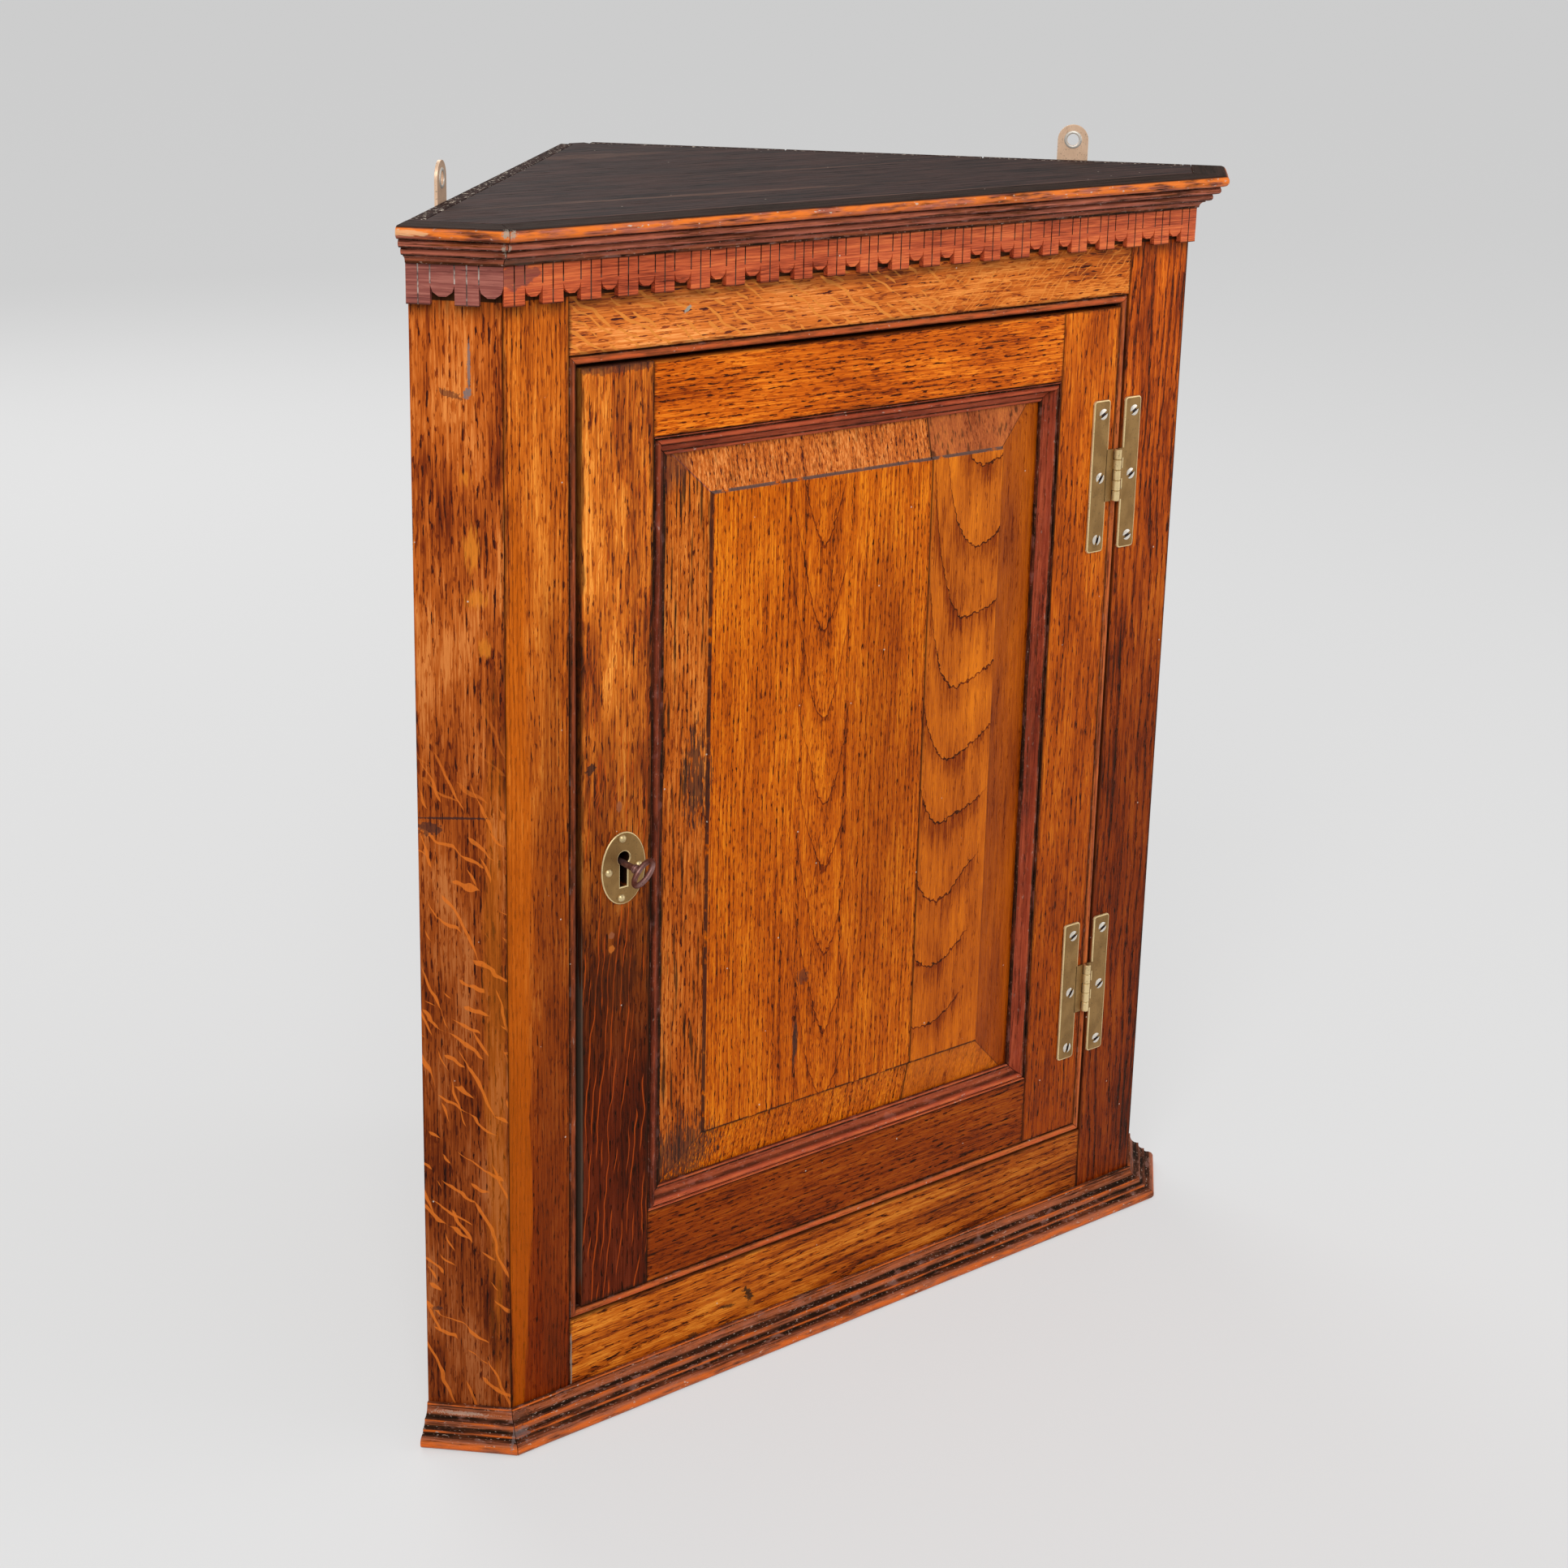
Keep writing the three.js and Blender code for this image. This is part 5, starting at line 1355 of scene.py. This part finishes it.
def make_key(scene):
    """The key: turned shaft and collar, oval bow and bit."""
    form = bmesh.new()
    origin = Vector((KEY_X, FACE_Y, KEY_Z))
    turned(form, KEY_PROFILE, origin, TO_ROOM, KEY_STEPS)
    join_into(form, key_bow(origin + TO_ROOM * BOW_REACH))
    bit = solid_block(origin + BIT_PLACE - BIT_SIZE / 2, origin + BIT_PLACE + BIT_SIZE / 2)
    ease(bit, bit.edges[:], BIT_EDGE)
    join_into(form, bit)
    bmesh.ops.rotate(form, verts=form.verts, cent=origin, matrix=Matrix.Rotation(KEY_TURN, 3, "Y"))
    iron = iron_finish("key_iron", scene.cupboard_tones.iron, 98)
    settle(piece_of(form, "key_dressed"), [iron], "iron", "key", "key")


def key_bow(centre):
    """An oval ring of even thickness, standing in the key's own plane."""
    bow = bmesh.new()
    place = Matrix.Translation((0, BOW_HALF_LONG, 0)) @ Matrix.Rotation(math.pi / 2, 4, "Y")
    bmesh.ops.create_circle(bow, segments=BOW_SEGMENTS, radius=BOW_SECTION, matrix=place)
    bmesh.ops.spin(bow, geom=bow.verts[:] + bow.edges[:], cent=(0, 0, 0), axis=UP, angle=math.tau,
                   steps=BOW_STEPS, use_merge=True)
    for vert in bow.verts:
        angle = math.atan2(vert.co.y, vert.co.x)
        reach = math.hypot(vert.co.x, vert.co.y) - BOW_HALF_LONG
        outward = Vector((math.cos(angle) / BOW_HALF_SHORT, math.sin(angle) / BOW_HALF_LONG)).normalized()
        vert.co = centre + Vector((vert.co.z, BOW_HALF_SHORT * math.cos(angle) + outward.x * reach,
                                   BOW_HALF_LONG * math.sin(angle) + outward.y * reach))
    bmesh.ops.recalc_face_normals(bow, faces=bow.faces)
    return bow


# A hanging plate: how far below its top its hole and screws stand
HANGER_HALF_THICKNESS = 1.1 * MM
HANGER_HOLE_DROP = 11.8 * MM
HANGER_SCREW_DROPS = (40, 64)
HANGER_SCREW_RADIUS = 3.4 * MM
HANGER_SCREW_SINK = 0.7 * MM
EYELET_PROFILE = ((4.7, 0), (4.8, 0.45), (5.6, 0.7), (6.6, 0.45), (7, 0), (6.6, -0.2), (4.9, -0.2))


def make_hangers(scene):
    """The two hanging plates, each with an eyelet and two countersunk screws."""
    tones = scene.cupboard_tones
    brass = brass_finish("hanger_brass", tones.copper, 99, tarnish=0.3, metallic=0.35)
    bright = brass_finish("hanger_screw_metal", tones.steel, 100, tarnish=0.2, metallic=0.4)
    dark = iron_finish("hanger_screw_slot", SLOT_TONE, 101)
    eyelets = bmesh.new()
    screws = bmesh.new()
    for side, outward in WALL_OUTWARD.items():
        node = f"hanging_plate_{side}"
        dress(node, brass, "brass", scene.cupboard_sizes.moulding_edge)
        low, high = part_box(node)
        top = Vector(((low.x + high.x) / 2, (low.y + high.y) / 2, high.z))
        hole = top - UP * HANGER_HOLE_DROP - outward * HANGER_HALF_THICKNESS
        turned(eyelets, EYELET_PROFILE, hole, -outward, RING_STEPS, ring=True)
        for drop in HANGER_SCREW_DROPS:
            place = top - UP * drop * MM + outward * (HANGER_HALF_THICKNESS - HANGER_SCREW_SINK)
            slotted_screw(screws, place, outward, HANGER_SCREW_RADIUS, math.radians(drop))
    settle(piece_of(eyelets, "hanger_eyelets"), [bright], "brass", "carcase")
    settle(piece_of(screws, "hanger_screws"), [bright, dark], "brass", "carcase")


def make_stage(scene):
    """Floor, lamps, room light and camera."""
    scene.view_settings.view_transform = "Standard"
    stage = scene.cupboard_stage
    form = bmesh.new()
    bmesh.ops.create_grid(form, x_segments=1, y_segments=1, size=FLOOR_HALF,
                          matrix=Matrix.Translation(UP * -FLOOR_DROP))
    mesh = bpy.data.meshes.new("floor")
    form.to_mesh(mesh)
    form.free()
    floor = bpy.data.objects.new("floor", mesh)
    scene.collection.objects.link(floor)
    mesh.materials.append(floor_paint(tuple(stage.floor)))
    light_room(scene, stage)
    place_camera(scene)


FLOOR_HALF = 40
FLOOR_DROP = 0.5 * MM
FLOOR_SHARE = 0.45
FLOOR_GLOW = 0.62


def floor_paint(tone):
    """Matt paint that what looks at it sees evenly pale, shadows kept."""
    finish = Finish("floor_paint")
    matt = finish.node("ShaderNodeBsdfDiffuse", None, {"Color": (*tone, 1)})
    dimmed = tuple(level * FLOOR_SHARE for level in tone)
    shaded = finish.node("ShaderNodeBsdfDiffuse", None, {"Color": (*dimmed, 1)})
    glow = finish.node("ShaderNodeEmission", None, {"Color": (*tone, 1), "Strength": FLOOR_GLOW})
    seen = finish.node("ShaderNodeAddShader", None, {0: shaded, 1: glow})
    share = finish.most(*(finish.node("ShaderNodeLightPath", output=f"Is {kind} Ray")
                          for kind in ("Camera", "Glossy", "Transmission")))
    return finish.close(finish.node("ShaderNodeMixShader", None, {0: share, 1: matt, 2: seen}))


# Each lamp's place and width in metres, and its share of the main lamp's power
LAMPS = {
    "main_lamp": ((-2.4, -2.6, 3.2), 2.2, 1),
    "fill_lamp": ((2.8, -2.2, 1.6), 2.4, 0.3),
    "back_lamp": ((0.6, 3.4, 2.6), 2.4, 0.45),
}


def light_room(scene, stage):
    """Even room light, a broad lamp high on the left, a weak one on the right and one behind."""
    scene.world = bpy.data.worlds.new("room")
    room = Finish("room", scene.world)
    lit = room.node("ShaderNodeBackground", None, {"Strength": stage.world_strength})
    seen = room.node("ShaderNodeBackground", None, {"Color": (*stage.floor, 1)})
    by_camera = room.node("ShaderNodeLightPath", output="Is Camera Ray")
    room.close(room.node("ShaderNodeMixShader", None, {0: by_camera, 1: lit, 2: seen}),
               "ShaderNodeOutputWorld")
    middle = UP * TOP_Z / 2
    for name, (place, width, share) in LAMPS.items():
        lamp = bpy.data.lights.new(name, "AREA")
        lamp.shape = "SQUARE"
        lamp.size = width
        lamp.energy = stage.lamp_power * share
        holder = bpy.data.objects.new(name, lamp)
        scene.collection.objects.link(holder)
        holder.location = place
        holder.rotation_mode = "QUATERNION"
        holder.rotation_quaternion = (middle - Vector(place)).to_track_quat("-Z", "Y")


def place_camera(scene):
    """The camera where the photograph was taken from, with the small shift its framing needs."""
    right = Vector((math.cos(CAMERA_YAW), math.sin(CAMERA_YAW), 0))
    flat = UP.cross(right)
    ahead = flat * math.cos(CAMERA_PITCH) - UP * math.sin(CAMERA_PITCH)
    up = right.cross(ahead)
    level = right * math.cos(CAMERA_ROLL) + up * math.sin(CAMERA_ROLL)
    climb = up * math.cos(CAMERA_ROLL) - right * math.sin(CAMERA_ROLL)
    camera = bpy.data.cameras.new("camera")
    camera.sensor_width = SENSOR
    camera.lens = FOCAL_PIXELS * SENSOR / PICTURE
    camera.shift_x = (PICTURE / 2 - PRINCIPAL[0]) / PICTURE
    camera.shift_y = (PRINCIPAL[1] - PICTURE / 2) / PICTURE
    holder = bpy.data.objects.new("camera", camera)
    scene.collection.objects.link(holder)
    holder.matrix_world = Matrix.Translation(EYE) @ Matrix((level, climb, -ahead)).transposed().to_4x4()
    scene.camera = holder


class CUPBOARD_OT_boards(bpy.types.Operator):
    """Dress the top, bottom, corner post, shelves and bearers"""
    bl_idname = "cupboard.boards"
    bl_label = "Carcase boards"

    def execute(self, context):
        make_carcase_boards(context.scene)
        return {"FINISHED"}


class CUPBOARD_OT_back(bpy.types.Operator):
    """Dress the back planks and nail them"""
    bl_idname = "cupboard.back"
    bl_label = "Back planks"

    def execute(self, context):
        make_back(context.scene)
        return {"FINISHED"}


class CUPBOARD_OT_face_frame(bpy.types.Operator):
    """Dress the face frame and its cock bead"""
    bl_idname = "cupboard.face_frame"
    bl_label = "Face frame"

    def execute(self, context):
        make_face_frame(context.scene)
        return {"FINISHED"}


class CUPBOARD_OT_returns(bpy.types.Operator):
    """Dress the canted returns"""
    bl_idname = "cupboard.returns"
    bl_label = "Returns"

    def execute(self, context):
        make_returns(context.scene)
        return {"FINISHED"}


class CUPBOARD_OT_cornice(bpy.types.Operator):
    """Dress the cornice"""
    bl_idname = "cupboard.cornice"
    bl_label = "Cornice"

    def execute(self, context):
        make_cornice(context.scene)
        return {"FINISHED"}


class CUPBOARD_OT_frieze(bpy.types.Operator):
    """Dress the fretted frieze"""
    bl_idname = "cupboard.frieze"
    bl_label = "Frieze"

    def execute(self, context):
        make_frieze(context.scene)
        return {"FINISHED"}


class CUPBOARD_OT_base(bpy.types.Operator):
    """Dress the base moulding"""
    bl_idname = "cupboard.base"
    bl_label = "Base moulding"

    def execute(self, context):
        make_base(context.scene)
        return {"FINISHED"}


class CUPBOARD_OT_door_frame(bpy.types.Operator):
    """Dress the door's stiles and rails"""
    bl_idname = "cupboard.door_frame"
    bl_label = "Door frame"

    def execute(self, context):
        make_door_frame(context.scene)
        return {"FINISHED"}


class CUPBOARD_OT_door_panel(bpy.types.Operator):
    """Dress the fielded panel"""
    bl_idname = "cupboard.door_panel"
    bl_label = "Door panel"

    def execute(self, context):
        make_door_panel(context.scene)
        return {"FINISHED"}


class CUPBOARD_OT_panel_mouldings(bpy.types.Operator):
    """Dress the mouldings round the panel"""
    bl_idname = "cupboard.panel_mouldings"
    bl_label = "Panel mouldings"

    def execute(self, context):
        make_panel_mouldings(context.scene)
        return {"FINISHED"}


class CUPBOARD_OT_hinges(bpy.types.Operator):
    """Make the H hinges and their screws"""
    bl_idname = "cupboard.hinges"
    bl_label = "Hinges"

    def execute(self, context):
        make_hinges(context.scene)
        return {"FINISHED"}


class CUPBOARD_OT_escutcheon(bpy.types.Operator):
    """Make the escutcheon and its pins"""
    bl_idname = "cupboard.escutcheon"
    bl_label = "Escutcheon"

    def execute(self, context):
        make_escutcheon(context.scene)
        return {"FINISHED"}


class CUPBOARD_OT_lock(bpy.types.Operator):
    """Dress the lock case and bolt"""
    bl_idname = "cupboard.lock"
    bl_label = "Lock"

    def execute(self, context):
        make_lock(context.scene)
        return {"FINISHED"}


class CUPBOARD_OT_key(bpy.types.Operator):
    """Make the key"""
    bl_idname = "cupboard.key"
    bl_label = "Key"

    def execute(self, context):
        make_key(context.scene)
        return {"FINISHED"}


class CUPBOARD_OT_hangers(bpy.types.Operator):
    """Make the hanging plates' eyelets and screws"""
    bl_idname = "cupboard.hangers"
    bl_label = "Hanging plates"

    def execute(self, context):
        make_hangers(context.scene)
        return {"FINISHED"}


class CUPBOARD_OT_stage(bpy.types.Operator):
    """Lay the floor, set the light and place the camera"""
    bl_idname = "cupboard.stage"
    bl_label = "Stage"

    def execute(self, context):
        make_stage(context.scene)
        return {"FINISHED"}


OPERATORS = (CUPBOARD_OT_boards, CUPBOARD_OT_back, CUPBOARD_OT_face_frame, CUPBOARD_OT_returns,
             CUPBOARD_OT_cornice, CUPBOARD_OT_frieze, CUPBOARD_OT_base, CUPBOARD_OT_door_frame,
             CUPBOARD_OT_door_panel, CUPBOARD_OT_panel_mouldings, CUPBOARD_OT_hinges,
             CUPBOARD_OT_escutcheon, CUPBOARD_OT_lock, CUPBOARD_OT_key, CUPBOARD_OT_hangers,
             CUPBOARD_OT_stage)


class CUPBOARD_PT_sidebar(bpy.types.Panel):
    """The cupboard's pieces and colours"""
    bl_idname = "CUPBOARD_PT_sidebar"
    bl_label = "Corner cupboard"
    bl_space_type = "VIEW_3D"
    bl_region_type = "UI"
    bl_category = "Cupboard"

    def draw(self, context):
        for operator in OPERATORS:
            self.layout.operator(operator.bl_idname)
        scene = context.scene
        for group in (scene.cupboard_tones, scene.cupboard_sizes, scene.cupboard_stage):
            for name in group.__annotations__:
                self.layout.prop(group, name)


CLASSES = (CupboardTones, CupboardSizes, CupboardStage, *OPERATORS, CUPBOARD_PT_sidebar)


def register():
    for each in CLASSES:
        bpy.utils.register_class(each)
    bpy.types.Scene.cupboard_tones = bpy.props.PointerProperty(type=CupboardTones)
    bpy.types.Scene.cupboard_sizes = bpy.props.PointerProperty(type=CupboardSizes)
    bpy.types.Scene.cupboard_stage = bpy.props.PointerProperty(type=CupboardStage)


def unregister():
    del bpy.types.Scene.cupboard_stage
    del bpy.types.Scene.cupboard_sizes
    del bpy.types.Scene.cupboard_tones
    for each in reversed(CLASSES):
        bpy.utils.unregister_class(each)


def main():
    register()
    for operator in OPERATORS:
        family, name = operator.bl_idname.split(".")
        getattr(getattr(bpy.ops, family), name)()


if __name__ == "__main__":
    main()
